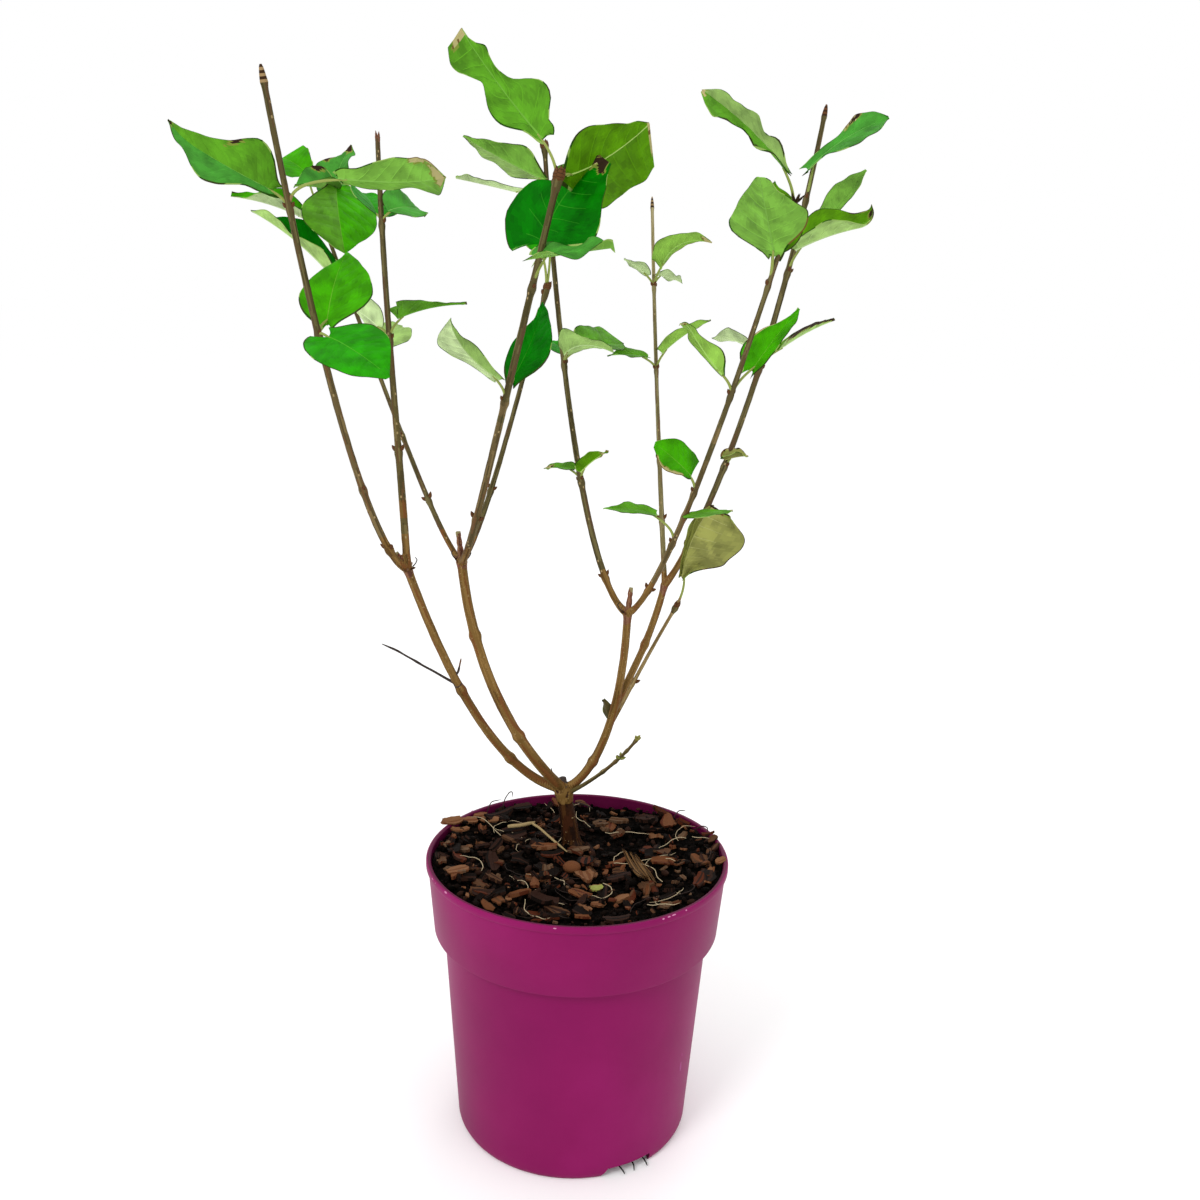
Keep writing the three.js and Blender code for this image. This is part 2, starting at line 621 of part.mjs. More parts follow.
// The rings that close a shoot: a pointed bud, or the blunt knuckle of a pruned tip.
function tipRings(curve, shoot) {
  const length = curve.getLength();
  const thin = shoot.radius[1];
  const ring = (fromTip, share) => [1 - fromTip / length, thin * share];
  if (shoot.tip === "bud") return [ring(10, 1), ring(7, 1.35), ring(4, 1.1), ring(0, 0.3)];
  return [ring(8, 1.05), ring(4, 1.6), ring(0.5, 1.7), ring(0, 1.3)];
}

function foliageSolid(curve, shoot, seed) {
  const random = randomSource(seed);
  const length = curve.getLength();
  const nodes = [...new Set(shoot.leaves.map((spec) => spec.at))];
  const limb = { ...shoot, knots: nodes };
  const from = shoot.leafyFrom + GAP / length;
  const stations = taperedStations(curve, limb, from, 1 - 16 / length, RING_STEP.shoot, tipRings(curve, shoot));
  const stem = bentPost(curve, curve.side, stations, SIDES.shoot);
  return fuse([stem, ...shoot.leaves.flatMap((spec) => leafSolid(curve, spec, random))]);
}

// ---- The whole plant ----

const plant = new THREE.Group();
plant.add(meshOf("pot", potSolid(), POT_PLASTIC));
plant.add(meshOf("compost", compostSolid(), MOIST_COMPOST));
plant.add(meshOf("trunk", trunkSolid(), OLD_BARK));

for (const [name, bough] of Object.entries(BOUGHS)) {
  plant.add(meshOf("bough_" + name, boughSolid(name, bough), OLD_BARK));
}

const crotchTwig = new LimbCurve(startOf(TWIG_AT_CROTCH.from), TWIG_AT_CROTCH);
const twigFrom = limbStart(crotchTwig, TWIG_AT_CROTCH);
plant.add(meshOf("twig_crotch", plainLimb(crotchTwig, TWIG_AT_CROTCH, twigFrom, 1, SIDES.shoot, 10), YOUNG_BARK));

Object.entries(SHOOTS).forEach(([name, shoot], index) => {
  const curve = new LimbCurve(startOf(shoot.from), shoot);
  const from = limbStart(curve, shoot);
  const bare = plainLimb(curve, shoot, from, shoot.leafyFrom, SIDES.shoot, RING_STEP.shoot);
  plant.add(meshOf("stem_" + name, bare, YOUNG_BARK));
  plant.add(meshOf("foliage_" + name, foliageSolid(curve, shoot, 100 + index), LEAF_GREEN));
});

export default plant;
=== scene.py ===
"""The looks of a young lilac bush in a plastic nursery pot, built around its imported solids.

Shapes are worked out in millimetres, in the solids' own frame, and become metres when a piece
is made. A heading is read from above, 0 along +X and 90 along +Y. A lift is an angle above level.
"""

import math
from dataclasses import dataclass
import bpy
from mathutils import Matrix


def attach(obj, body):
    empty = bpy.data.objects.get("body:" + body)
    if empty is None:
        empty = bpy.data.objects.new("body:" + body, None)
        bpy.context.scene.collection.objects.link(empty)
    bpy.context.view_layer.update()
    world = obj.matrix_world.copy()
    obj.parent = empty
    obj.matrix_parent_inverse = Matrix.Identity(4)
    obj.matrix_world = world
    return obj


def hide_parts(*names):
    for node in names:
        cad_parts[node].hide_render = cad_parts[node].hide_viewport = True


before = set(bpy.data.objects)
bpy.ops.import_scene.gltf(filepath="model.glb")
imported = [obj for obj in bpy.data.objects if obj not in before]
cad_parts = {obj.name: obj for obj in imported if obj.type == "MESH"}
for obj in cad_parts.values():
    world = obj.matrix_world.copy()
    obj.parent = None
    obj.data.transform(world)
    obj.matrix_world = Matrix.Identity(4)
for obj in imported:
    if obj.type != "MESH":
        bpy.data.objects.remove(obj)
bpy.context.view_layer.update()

from types import SimpleNamespace

import bmesh
import bpy
import numpy as np
from mathutils import Matrix, Vector, kdtree, noise

MM = 0.001
UP = np.array([0.0, 0.0, 1.0])

# ---- Sizes shared with the solids ----

POT = SimpleNamespace(
    height=162, rim_radius=85, lip_height=4, collar_top_radius=83.8, collar_foot_radius=80.5,
    collar_foot_height=120.5, body_top_radius=74.8, body_top_height=119, body_foot_radius=66.8,
    body_foot_height=3, foot_radius=65.5, wall=1.5, channel_height=6.5, channel_radius=46, sides=192,
)
NOTCH = SimpleNamespace(height=5.5, width=31, chamfer=3, headings=(-61, 119))
COMPOST = SimpleNamespace(level=152.6, dip=5, calm_radius=20)
# Its profile is (height, radius) pairs from below the compost to the top.
TRUNK = SimpleNamespace(
    foot=(-3.4, 28.7, 153), heading=190, lean=6, height=36,
    profile=((-4, 8.2), (0, 6.8), (3, 5.7), (8, 5.2), (18, 4.9), (27, 4.5), (33, 5.6), (36, 5.2), (39.5, 3)),
    broken_top=dict(heading=120, reach=1, rise=5.5),
)

# A limb runs from its start for reach along its heading, and for rise upwards, which it gains
# late where climb is over 1. sway bends it sideways, radius is at its foot and at its end, and
# knots are the shares of its course where it swells.
BOUGHS = {
    "left": dict(
        start=("crotch",), heading=-161, reach=90, rise=136, climb=1.8, sway=-14, radius=(2.8, 2.3),
        knots=(0.32, 0.64), stub=dict(heading=185, reach=6, rise=8, radius=(1.8, 1.6)),
    ),
    "centre_left": dict(
        start=("crotch",), heading=161, reach=65, rise=130, climb=1.04, sway=26, radius=(3.1, 2.8),
        knots=(0.3, 0.72), stub=dict(heading=200, reach=2, rise=17, radius=(1.6, 1.4)),
    ),
    "right": dict(
        start=("crotch",), heading=-36, reach=41, rise=113, climb=1.6, sway=14, radius=(2.7, 2.2),
        knots=(0.3,), stub=dict(heading=20, reach=1.5, rise=14, radius=(1.6, 1.3)),
    ),
    "rear_right": dict(
        start=("right", 0.6), heading=36, reach=34, rise=70, climb=0.88, sway=-5, radius=(2.1, 2),
        knots=(0.5,),
    ),
}
DEAD_TWIG = dict(
    start=("left", 0.66), heading=-172, reach=42, rise=25, climb=1.1, sway=-3, radius=(0.8, 0.45),
    knots=(0.55, 0.8), tip="bud",
)
CROTCH_TWIG = dict(
    start=("crotch", -4), heading=-51, reach=63, rise=54, climb=1.1, sway=6, radius=(1.3, 0.8),
    knots=(0.45, 0.62, 0.8), tip="knuckle",
)


@dataclass
class Leaf:
    """A leaf of a shoot. Where it has half widths on either side, in millimetres, these and its
    directions and size were worked out by a program from an outline traced on the photo."""

    at: float  # the share of its shoot at which it grows
    stalk: tuple  # heading, lift and length
    blade: tuple  # its midrib's heading, lift and roll
    size: tuple  # long and wide
    tone: str = "fresh"  # its greens above/below, each one tone or left half|right half
    burnt: tuple = ()  # dry zones as ("tip", depth) or (side, from, to, depth), depth as a share
    left: tuple = None  # half widths at even steps along the midrib
    right: tuple = None
    droop: float = 24  # how far the midrib bends down, in degrees
    bow: float = 0  # how far the midrib bows sideways, as a share of its length
    fold: float = 14  # how steeply both halves rise from the midrib, in degrees
    wave: float = 0.02  # how strongly the halves ripple
    frill: float = 0.8  # how strongly the margin waves
    lobe: float = 0.16  # how far the lobes at the foot reach back
    hook: float = 0  # the angle by which the tip curls up
    crumple: float = 0  # how deep its dents are, in millimetres
    veins: float = 0  # how far out its side veins show above
    dark: float = 0  # how scorched its dry zones are


def oval(*place, **form):
    """A leaf with a plain outline, which waves more than a traced one."""
    return Leaf(*place, **{"wave": 0.05, "frill": 1.0, **form})


SHOOTS = {
    "far_left": dict(
        start=("left",), heading=-121, reach=92, rise=233, climb=1.53, sway=-2, radius=(2, 1.35),
        knots=(0.14, 0.34), tip="bud", bark="brown",
    ),
    "left": dict(
        start=("left",), heading=119, reach=36, rise=218, climb=0.8, sway=2, radius=(2, 1.2), knots=(0.2,),
        tip="split", bark="grey",
    ),
    "rear_left": dict(
        start=("centre_left",), heading=142, reach=116, rise=192, climb=1.56, sway=-10, radius=(1.7, 1.1),
        knots=(0.3, 0.5), tip="knuckle", bark="olive",
    ),
    "centre": dict(
        start=("centre_left",), heading=-61, reach=113, rise=202, climb=1.68, sway=-8, radius=(2.1, 1.6),
        knots=(0.32,), tip="knuckle", bark="brown",
    ),
    "rear_centre": dict(
        start=("centre_left",), heading=-5, reach=47, rise=154, climb=1.4, sway=-13, radius=(1.6, 1.2),
        knots=(0.4,), tip="knuckle", bark="olive",
    ),
    "inner_right": dict(
        start=("right",), heading=128, reach=84, rise=246, climb=1.69, sway=4, radius=(1.9, 1.3),
        knots=(0.2,), tip="knuckle", bark="olive",
    ),
    "right": dict(
        start=("right",), heading=-52, reach=104, rise=208, climb=1.41, sway=-1, radius=(1.7, 1.1),
        knots=(0.16,), tip="spikes", bark="brown",
    ),
    "rear_right": dict(
        start=("rear_right",), heading=98, reach=82, rise=218, climb=0.97, sway=1, radius=(1.5, 0.9),
        knots=(0.15, 0.3), tip="bud", bark="pale",
    ),
    "far_right": dict(
        start=("rear_right",), heading=12, reach=79, rise=262, climb=1.16, sway=-23, radius=(1.9, 1.3),
        knots=(0.12, 0.8), tip="bud", bark="olive",
    ),
    "short_right": dict(
        start=("right", 0.52), heading=13, reach=38, rise=71, climb=1.25, sway=7, radius=(1.3, 1),
        knots=(0.4,), tip="knuckle", bark="straw",
    ),
}

LEAVES = {
    "far_left": (
        Leaf(
            0.83, (-180, 48.2, 10.9), (-152, 27, -61), (51.5, 31), "teal|lively/fresh",
            (("tip", 0.05), ("right", 0.42, 0.5, 0.22)), bow=0.07, wave=0.01, hook=40, lobe=0.3, dark=1,
            left=(0.5, 3, 4, 5, 9.5, 14.5, 16, 12, 5, 4, 0),
            right=(4, 5.5, 15.5, 19, 16, 11, 8, 6.5, 4.5, 3, 0),
        ),
        Leaf(
            0.83, (-14.8, 30.4, 27.3), (-21, 0, -34), (52.6, 42), "grey/bright",
            (("tip", 0.14), ("right", 0.66, 0.95, 0.2)), droop=34, bow=0.14, fold=8, wave=0.03,
            left=(4.5, 4.5, 5.5, 6, 6.5, 6.5, 7, 10, 10, 5.5, 0),
            right=(2, 6, 7, 9.5, 11.5, 12, 11.5, 11.5, 12, 11.5, 0),
        ),
        Leaf(
            0.65, (66, 38, 8.4), (83, 47, -7), (46.7, 42), "leafy/pale", bow=0.01, fold=6, wave=0.01,
            frill=0.5, lobe=0.3, left=(0.5, 5, 11.5, 15, 16, 14, 12, 9, 6, 2, 0),
            right=(2.5, 7, 18, 22, 21.5, 19.5, 17, 13, 9.5, 5, 1),
        ),
        Leaf(
            0.65, (-43.6, 0, 7.5), (-47, -17, 25), (52.4, 46), "fresh/pale", bow=-0.01, fold=4, wave=0.01,
            frill=0.5, lobe=0.4, left=(4, 6, 14, 17.5, 17.5, 17, 15.5, 12.5, 8.5, 4, 0),
            right=(4, 11, 14.5, 16, 17, 17, 15.5, 14, 11, 7, 2),
        ),
    ),
    "left": (
        oval(0.76, (-45, 51, 9), (60, 1, 35), (30, 24), "teal/bright", droop=50, frill=1.6),
        oval(0.76, (119, 36, 9), (115, 22, 19), (36, 28), "fresh/bright"),
        Leaf(
            0.46, (-41.7, 62.7, 13.4), (21, 12, -10), (37.9, 24), "lively/milky|lively", (("tip", 0.03),),
            fold=26, dark=1, left=(13, 13, 13, 13, 13, 10.5, 5.5, 2.5, 1.5, 1.5, 2.5),
            right=(13, 12.5, 10.5, 8, 6, 4.5, 3, 2.5, 1.5, 1, 0),
        ),
        oval(0.46, (125, 29, 11), (145, 26, 61), (28, 24), "pale/milky"),
    ),
    "rear_left": (
        Leaf(
            0.98, (-52, 50.6, 27.2), (-72, -47, -28), (52.8, 44), "leafy|lively/bright", bow=-0.06, fold=6,
            wave=0.01, frill=0.6, lobe=0.3, left=(5, 17, 23, 25, 24.5, 24, 21.5, 17, 11, 6, 0),
            right=(1, 4, 6.5, 10.5, 15, 19, 23, 26, 27, 23, 7.5),
        ),
        oval(0.98, (-155, 16, 12), (-166, 14, -18), (42, 16), "leafy/milky", fold=44),
        oval(0.87, (-139, 15, 8), (-165, 38, -24), (57, 18), "deep/pale", fold=44, wave=0.06),
        Leaf(
            0.98, (138.6, 66.7, 30.6), (143, 25, -23), (26.7, 34), "leafy/bright",
            left=(12.5, 15.5, 16, 14.5, 13.5, 12.5, 10.5, 8.5, 6.5, 5, 3),
            right=(0, 3, 5.5, 8, 9, 10.5, 12, 13.5, 14.5, 15, 15),
        ),
        oval(
            0.98, (0, 73, 17), (49, 63, 4), (34, 30), "teal/teal", (("tip", 0.16), ("left", 0.6, 1, 0.2)),
            wave=0.1, dark=0.8,
        ),
        oval(
            0.98, (-50, 50, 24), (-140, 1, -24), (26, 22), "teal/bright", (("right", 0.2, 0.5, 0.2),),
            fold=40, dark=0.8,
        ),
        oval(0.7, (60, 30, 11), (80, 20, 10), (38, 26), "pale/pale"),
    ),
    "centre": (
        Leaf(
            0.64, (-103.5, 55.7, 14.2), (-143, 45, 26), (40.3, 30), "pale/grey|milky", bow=-0.17,
            left=(2, 3.5, 4, 5, 5.5, 6, 5, 3.5, 2, 1, 0), right=(4, 4.5, 4, 5, 8, 13, 16, 15.5, 12, 6.5, 0),
        ),
        Leaf(
            0.64, (73.9, 46.2, 13), (59, 55, -2), (48.8, 37), "deep/bright", (("left", 0.75, 0.92, 0.2),),
            bow=-0.1, frill=0.6, lobe=0.3, dark=0.4, left=(0, 4, 8, 9.5, 9.5, 8, 6.5, 4.5, 3, 2, 0),
            right=(3, 5.5, 14.5, 17.5, 16.5, 15, 12, 9, 6, 3.5, 0),
        ),
        Leaf(
            0.84, (69.3, 56.5, 23.5), (-5, 54, 58), (50, 46), "deep/teal",
            (("tip", 0.12), ("left", 0.86, 1, 0.25)), bow=0.11, fold=4, lobe=0.66, veins=0.6, dark=1,
            left=(11, 19, 24.5, 24, 22, 18.5, 8.5, 8, 6, 7.5, 3.5),
            right=(1.5, 4.5, 8, 21, 30, 29, 24.5, 20.5, 15.5, 9.5, 3),
        ),
        oval(
            0.84, (-61, 57.5, 17.3), (-14, 8, 14), (35.2, 32), "teal/bright", bow=-0.3, fold=10, wave=0.11,
            frill=0.8, lobe=0.6,
        ),
        Leaf(
            0.98, (180, 74, 22.2), (165, 50, 71), (61.6, 31), "bright/lively", (("tip", 0.04),), bow=-0.05,
            fold=8, left=(4, 8, 9, 15, 17.5, 16.5, 12, 6.5, 4.5, 3.5, 4.5, 6, 2.5, 0.5, 0),
            right=(0, 2.5, 3.5, 5.5, 9.5, 12.5, 13.5, 12.5, 9, 7, 9.5, 12.5, 16, 16.5, 11.5),
        ),
        Leaf(
            0.98, (72.3, 26.6, 15.9), (23, 32, -58), (49.7, 42), "mid/mid", (("tip", 0.02),), bow=0.11,
            fold=6, lobe=0.3, left=(0, 5.5, 15, 24, 27.5, 28, 28, 27, 28, 27.5, 25.5),
            right=(0, 5, 13, 18, 18.5, 17, 14.5, 12, 8.5, 5.5, 0.5),
        ),
    ),
    "rear_centre": (
        oval(0.97, (60, 80, 26), (80, 66, 20), (22, 17), "fresh/pale"),
        oval(0.97, (200, 82, 25), (100, 70, -20), (22, 17), "fresh/pale"),
    ),
    "inner_right": (
        Leaf(
            0.94, (-180, 74, 5.5), (-161, 23, 28), (49.5, 28), "bright/bright|pale", bow=-0.08, fold=20,
            left=(0.5, 3.5, 7, 10.5, 12, 10, 8.5, 6, 4, 1, 0),
            right=(1, 4, 11.5, 17, 14, 12, 14, 12, 6, 1.5, 0),
        ),
        Leaf(
            0.94, (-180, -7.6, 13.6), (-151, 7, 10), (39.7, 18), "pale/milky", bow=-0.14, fold=30,
            left=(2.5, 3, 2.5, 2.5, 2.5, 2.5, 2.5, 3.5, 4, 3, 0),
            right=(8, 7, 3.5, 2.5, 3.5, 7, 8, 8, 7.5, 4.5, 0),
        ),
        oval(0.94, (20, 30, 9), (30, 25, 10), (44, 28), "mid/pale"),
        Leaf(
            0.68, (-91.3, 46.8, 8.6), (-29, 5, -31), (30.4, 24), "pale/pale", bow=-0.21, fold=24,
            left=(4, 9, 11.5, 12, 12, 12, 12, 12, 11, 6, 0.5),
            right=(4, 8.5, 11.5, 11, 8, 5.5, 4.5, 4.5, 4.5, 4.5, 2.5),
        ),
        Leaf(
            0.68, (39.3, 42.7, 12.8), (50, 3, 22), (40.8, 32), "lively/pale",
            left=(0, 4, 11, 15, 16, 16, 16, 16, 16, 13.5, 0),
            right=(0, 3, 4.5, 7, 14, 14.5, 12.5, 9.5, 5.5, 2, 1),
        ),
        oval(0.68, (83, 35, 10), (116, 15, -4), (27, 20), "fresh/pale"),
        oval(
            0.46, (-98, 52, 8), (-33, 36, -13), (22, 13), "lively/mid", (("tip", 0.2), ("left", 0, 1, 0.3)),
            fold=24, dark=0.3,
        ),
        oval(0.46, (129, 46, 9), (155, -3, -13), (19, 12), "lively/bright", (("tip", 0.3),), dark=0.3),
    ),
    "right": (
        Leaf(
            0.47, (-118.2, 64.2, 10.4), (-136, 33, -85), (32.1, 26), "leafy/pale",
            (("left", 0.3, 0.9, 0.2),), bow=0.01, fold=4, frill=0.4,
            left=(0, 2.5, 3.5, 4, 5.5, 6.5, 7.5, 8, 7.5, 5.5, 2),
            right=(8.5, 9, 10, 10, 10, 10, 9.5, 8.5, 6.5, 4, 1),
        ),
        Leaf(
            0.41, (-95.8, 3, 4.8), (22, 5, 18), (27.5, 14), "lively/bright", (("tip", 0.06),),
            left=(1, 1.5, 2.5, 2, 2, 2, 1.5, 1.5, 1, 0.5, 0), right=(1.5, 3, 5, 6.5, 7, 7.5, 7, 6, 4, 2, 0),
        ),
        Leaf(
            0.33, (-144.8, 56.7, 19.3), (-156, 9, -25), (29.9, 15), "lively/bright", wave=0.03, dark=1,
            left=(0, 2.5, 6.5, 6.5, 5, 5, 5, 7, 7.5, 6, 0),
            right=(3, 3, 4, 4.5, 4.5, 5.5, 4.5, 2, 1, 0.5, 0),
        ),
        Leaf(
            0.68, (-130.9, 53.8, 13), (-149, 49, 20), (36.1, 24), "lime/lime", (("tip", 0.12),), bow=-0.09,
            fold=20, hook=-60, left=(0.5, 3, 6, 7, 6, 4, 3, 2.5, 1.5, 1, 0),
            right=(0.5, 2, 3, 3.5, 4, 5.5, 5.5, 3.5, 5, 3, 0),
        ),
        Leaf(
            0.68, (30, 45.3, 17.1), (32, 47, 18), (39.8, 26), "leafy/bright", (("left", 0.45, 0.8, 0.1),),
            bow=-0.02, lobe=0.4, left=(4, 4, 9.5, 11, 10, 9, 7, 4.5, 2, 1, 0),
            right=(2.5, 3, 5, 5.5, 6, 6, 5.5, 5, 4, 2.5, 0),
        ),
        Leaf(
            0.87, (-68.8, 70.1, 14.6), (-111, 38, -11), (47.4, 44), "bright/bright",
            (("left", 0.22, 0.5, 0.04),), bow=-0.03, fold=6, wave=0.01, lobe=0.3,
            left=(1, 4, 7, 12.5, 16.5, 18, 17.5, 12, 8, 6, 3),
            right=(3, 7, 19.5, 21, 18, 15, 12.5, 9.5, 6.5, 4, 1.5),
        ),
        oval(0.87, (60, 80, 16), (85, 74, 5), (32, 26), "mid/bright"),
        Leaf(
            0.98, (-146.1, 78, 17.2), (-160, 35, -66), (51.8, 24), "lively|grey/bright", (("tip", 0.03),),
            wave=0.03, left=(0, 1, 1, 1, 1, 3, 5.5, 6.5, 3, 2, 4.5, 6.5, 7.5, 10, 12.5, 8, 0.5),
            right=(0.5, 0.5, 1.5, 4.5, 7, 6.5, 4, 5.5, 7.5, 6.5, 5, 5, 4.5, 5.5, 6, 4, 1),
        ),
    ),
    "rear_right": (
        oval(0.53, (-150, 52, 10), (-161, 2, -19), (25, 14), "lively/bright"),
        Leaf(
            0.53, (-37.2, 71.9, 11.3), (-22, 34, -19), (34.3, 18), "lime/lime",
            (("tip", 0.05), ("left", 0.3, 0.85, 0.14)), fold=26, dark=0.6,
            left=(0, 2.5, 7, 8, 8, 8, 7, 4, 7, 6.5, 0), right=(3.5, 4, 5, 6, 6, 5.5, 4, 3.5, 3.5, 2.5, 1),
        ),
        oval(0.75, (180, 63, 8), (-158, 28, 23), (18, 10), "milky/milky"),
        Leaf(
            0.75, (-48.6, 64.4, 12.2), (-24, 26, -34), (33.9, 22), "lime/lime",
            (("tip", 0.1), ("left", 0.1, 1, 0.12)), droop=50, bow=-0.2,
            left=(0.5, 3, 4, 4, 5, 4.5, 3, 2, 1.5, 0.5, 0),
            right=(7.5, 8.5, 10.5, 10, 8.5, 7, 6.5, 6, 7, 6.5, 2),
        ),
        oval(0.75, (74, 61, 9), (37, -11, -12), (21, 12), "pale/milky", wave=0.1),
    ),
    "far_right": (
        oval(
            0.32, (-93, 66, 5), (-10, 12, 24), (13, 7), "olive/drab", (("tip", 0.12), ("left", 0, 1, 0.2)),
            fold=52, wave=0.1, lobe=0.5, dark=0.3,
        ),
        Leaf(
            0.52, (22.2, 44.3, 14.8), (21, 26, 8), (38.7, 18), "mid/pale",
            (("right", 0.1, 1, 0.5), ("tip", 0.05)), bow=-0.03, fold=34, dark=1,
            left=(0, 1.5, 2.5, 2.5, 2.5, 3, 3, 3, 2, 1.5, 0),
            right=(13, 13, 13.5, 12, 12, 12, 10.5, 8, 4.5, 2, 0),
        ),
        oval(0.52, (128, 59, 15), (144, 7, 29), (24, 18), "pale/milky"),
        Leaf(
            0.7, (27.2, 52.6, 28.2), (25, 48, 21), (44.8, 24), "bright/teal", bow=-0.08, fold=20,
            left=(3, 5.5, 7, 7.5, 8.5, 9.5, 9.5, 8.5, 6.5, 3.5, 0),
            right=(1.5, 2.5, 3, 3.5, 3.5, 3.5, 3.5, 4.5, 3, 2, 0),
        ),
        oval(
            0.7, (-79.8, 50.5, 15.6), (-28, 15, 27), (50.4, 22), "mid/pale",
            (("tip", 0.16), ("left", 0.6, 1, 0.08)), fold=42, hook=95, frill=0.8, dark=1.4,
        ),
        Leaf(
            0.83, (-96.3, 80.6, 15.8), (-18, 32, 40), (47, 28), "teal/teal", (("left", 0.55, 0.78, 0.25),),
            bow=0.04, lobe=0.3, dark=0.5, left=(4, 3.5, 4, 4, 4, 5.5, 9, 12.5, 10, 7.5, 0),
            right=(3.5, 5, 4.5, 5, 10.5, 14.5, 15.5, 15.5, 15.5, 13, 1.5),
        ),
    ),
    "short_right": (
        Leaf(
            0.97, (-83.6, 53.1, 27.6), (-19, 70, 66), (43.8, 42), "drab|olive/drab",
            (("left", 0.2, 0.95, 0.035), ("right", 0.3, 0.95, 0.035), ("tip", 0.03)), droop=30, bow=0.03,
            fold=10, crumple=7, veins=0.6, dark=1.2, left=(1, 1.5, 2, 2, 2.5, 3.5, 3.5, 4, 4, 4, 0),
            right=(1, 4.5, 9, 15, 22, 27.5, 30.5, 31.5, 31, 27.5, 18.5),
        ),
    ),
}

# ---- Small helpers ----


def direction(heading, lift=0.0):
    """The unit vector that points along a heading and a lift."""
    turn, rise = math.radians(heading), math.radians(lift)
    return np.array([math.cos(turn) * math.cos(rise), math.sin(turn) * math.cos(rise), math.sin(rise)])


def unit(vector):
    return vector / max(np.linalg.norm(vector), 1e-9)


def rotation(angle, axis):
    """The matrix of a turn in degrees."""
    return Matrix.Rotation(math.radians(angle), 3, axis)


def random_source(seed):
    """A repeatable sequence of numbers from 0 to 1, the same one that the solids draw from."""
    state = seed

    def draw():
        nonlocal state
        state = (state * 1664525 + 1013904223) % 2**32
        return state / 2**32

    return draw


def colour(text):
    """A hex colour as Blender's linear one."""
    channels = [int(text[i : i + 2], 16) / 255 for i in (1, 3, 5)]
    return tuple(c / 12.92 if c <= 0.04045 else ((c + 0.055) / 1.055) ** 2.4 for c in channels) + (1.0,)


def shaded(text, share):
    """A hex colour made darker or lighter by a share."""
    return "#" + "".join(f"{min(255, int(int(text[i : i + 2], 16) * share)):02x}" for i in (1, 3, 5))


def wobble(place, size, seed=0.0):
    """Smooth noise from about -1 to 1 at a place, whose lumps are size millimetres across."""
    return noise.noise(Vector(place) / size + Vector((seed, seed * 0.7, -seed)))


def over_grid(function, *grids):
    """The values of a function over grids of its arguments."""
    return np.vectorize(function, otypes=[float])(*grids)


def add_object(name, data):
    thing = bpy.data.objects.new(name, data)
    bpy.context.scene.collection.objects.link(thing)
    return thing


def settled(thing, *helpers):
    """The mesh that an object's modifiers make of it. The object and its helpers are removed."""
    bpy.context.view_layer.update()
    mesh = bpy.data.meshes.new_from_object(thing.evaluated_get(bpy.context.evaluated_depsgraph_get()))
    for done in (thing, *helpers):
        bpy.data.objects.remove(done)
    return mesh


# ---- Materials ----

skins = {}


def noise_of(tree, scale, detail):
    """Noise that is fixed to the object, as an output of a material's nodes."""
    place = tree.nodes.new("ShaderNodeTexCoord")
    grit = tree.nodes.new("ShaderNodeTexNoise")
    grit.inputs["Scale"].default_value = scale
    grit.inputs["Detail"].default_value = detail
    tree.links.new(place.outputs["Object"], grit.inputs["Vector"])
    return grit.outputs["Fac"]


def skin(name, base, rough=0.5, relief=0.0, grain=1500, gloss=0.5):
    """A material of one colour, with a relief some millimetres deep: the pieces deal several
    to their faces."""
    material = bpy.data.materials.new(name)
    material.use_nodes = True
    tree = material.node_tree
    shader = tree.nodes["Principled BSDF"]
    shader.inputs["Base Color"].default_value = colour(base)
    shader.inputs["Roughness"].default_value = rough
    shader.inputs["Specular IOR Level"].default_value = 0.3 * gloss
    if relief:
        bump = tree.nodes.new("ShaderNodeBump")
        bump.inputs["Distance"].default_value = relief * MM
        tree.links.new(noise_of(tree, grain, 5), bump.inputs["Height"])
        tree.links.new(bump.outputs["Normal"], shader.inputs["Normal"])
    skins[name] = material


def mottle(name, tints, scale):
    """Lets a skin's colour wander between tints, pairs of a place on the ramp and a hex colour."""
    tree = skins[name].node_tree
    ramp = tree.nodes.new("ShaderNodeValToRGB")
    stops = ramp.color_ramp.elements
    while len(stops) < len(tints):
        stops.new(0.5)
    for stop, (spot, tint) in zip(stops, tints):
        stop.position = spot
        stop.color = colour(tint)
    tree.links.new(noise_of(tree, scale, 6), ramp.inputs["Fac"])
    tree.links.new(ramp.outputs["Color"], tree.nodes["Principled BSDF"].inputs["Base Color"])


# Each tone's blade and its midrib.
TONES = {
    "fresh": ("#228805", "#4aa023"),
    "leafy": ("#388f00", "#62a529"),
    "deep": ("#026600", "#2c8218"),
    "mid": ("#4c7f06", "#9dba62"),
    "teal": ("#41892e", "#7ab35e"),
    "bright": ("#6c9d3b", "#77a748"),
    "withered": ("#4b4427", "#5b5231"),
    "lively": ("#508a1e", "#649c35"),
    "grey": ("#7c9c52", "#93ae6c"),
    "lime": ("#7faa44", "#93ba5e"),
    "pale": ("#92b364", "#b0c98c"),
    "milky": ("#adc38c", "#c2d3a4"),
    "olive": ("#87894a", "#a1a268"),
    "drab": ("#6c7033", "#8d8f52"),
}
SHADES = {"a": 1.0, "b": 0.94, "c": 1.06, "d": 0.87, "e": 1.12}
DARK_TO_LIGHT = "dbace"
for tone, (blade, rib) in TONES.items():
    for shade, share in SHADES.items():
        skin(f"{tone}_{shade}", shaded(blade, share), 0.55, 0.05, 1700, 0.12)
    skin(f"{tone}_rib", rib, 0.6, gloss=0.12)
skin("rim_dark", "#333c18", 0.6, gloss=0.1)
skin("rim_green", "#23480a", 0.6, gloss=0.1)
skin("rim_pale", "#86a352", 0.6, gloss=0.1)
skin("leaf_yellowing", "#748433", 0.6, 0.08, gloss=0.15)
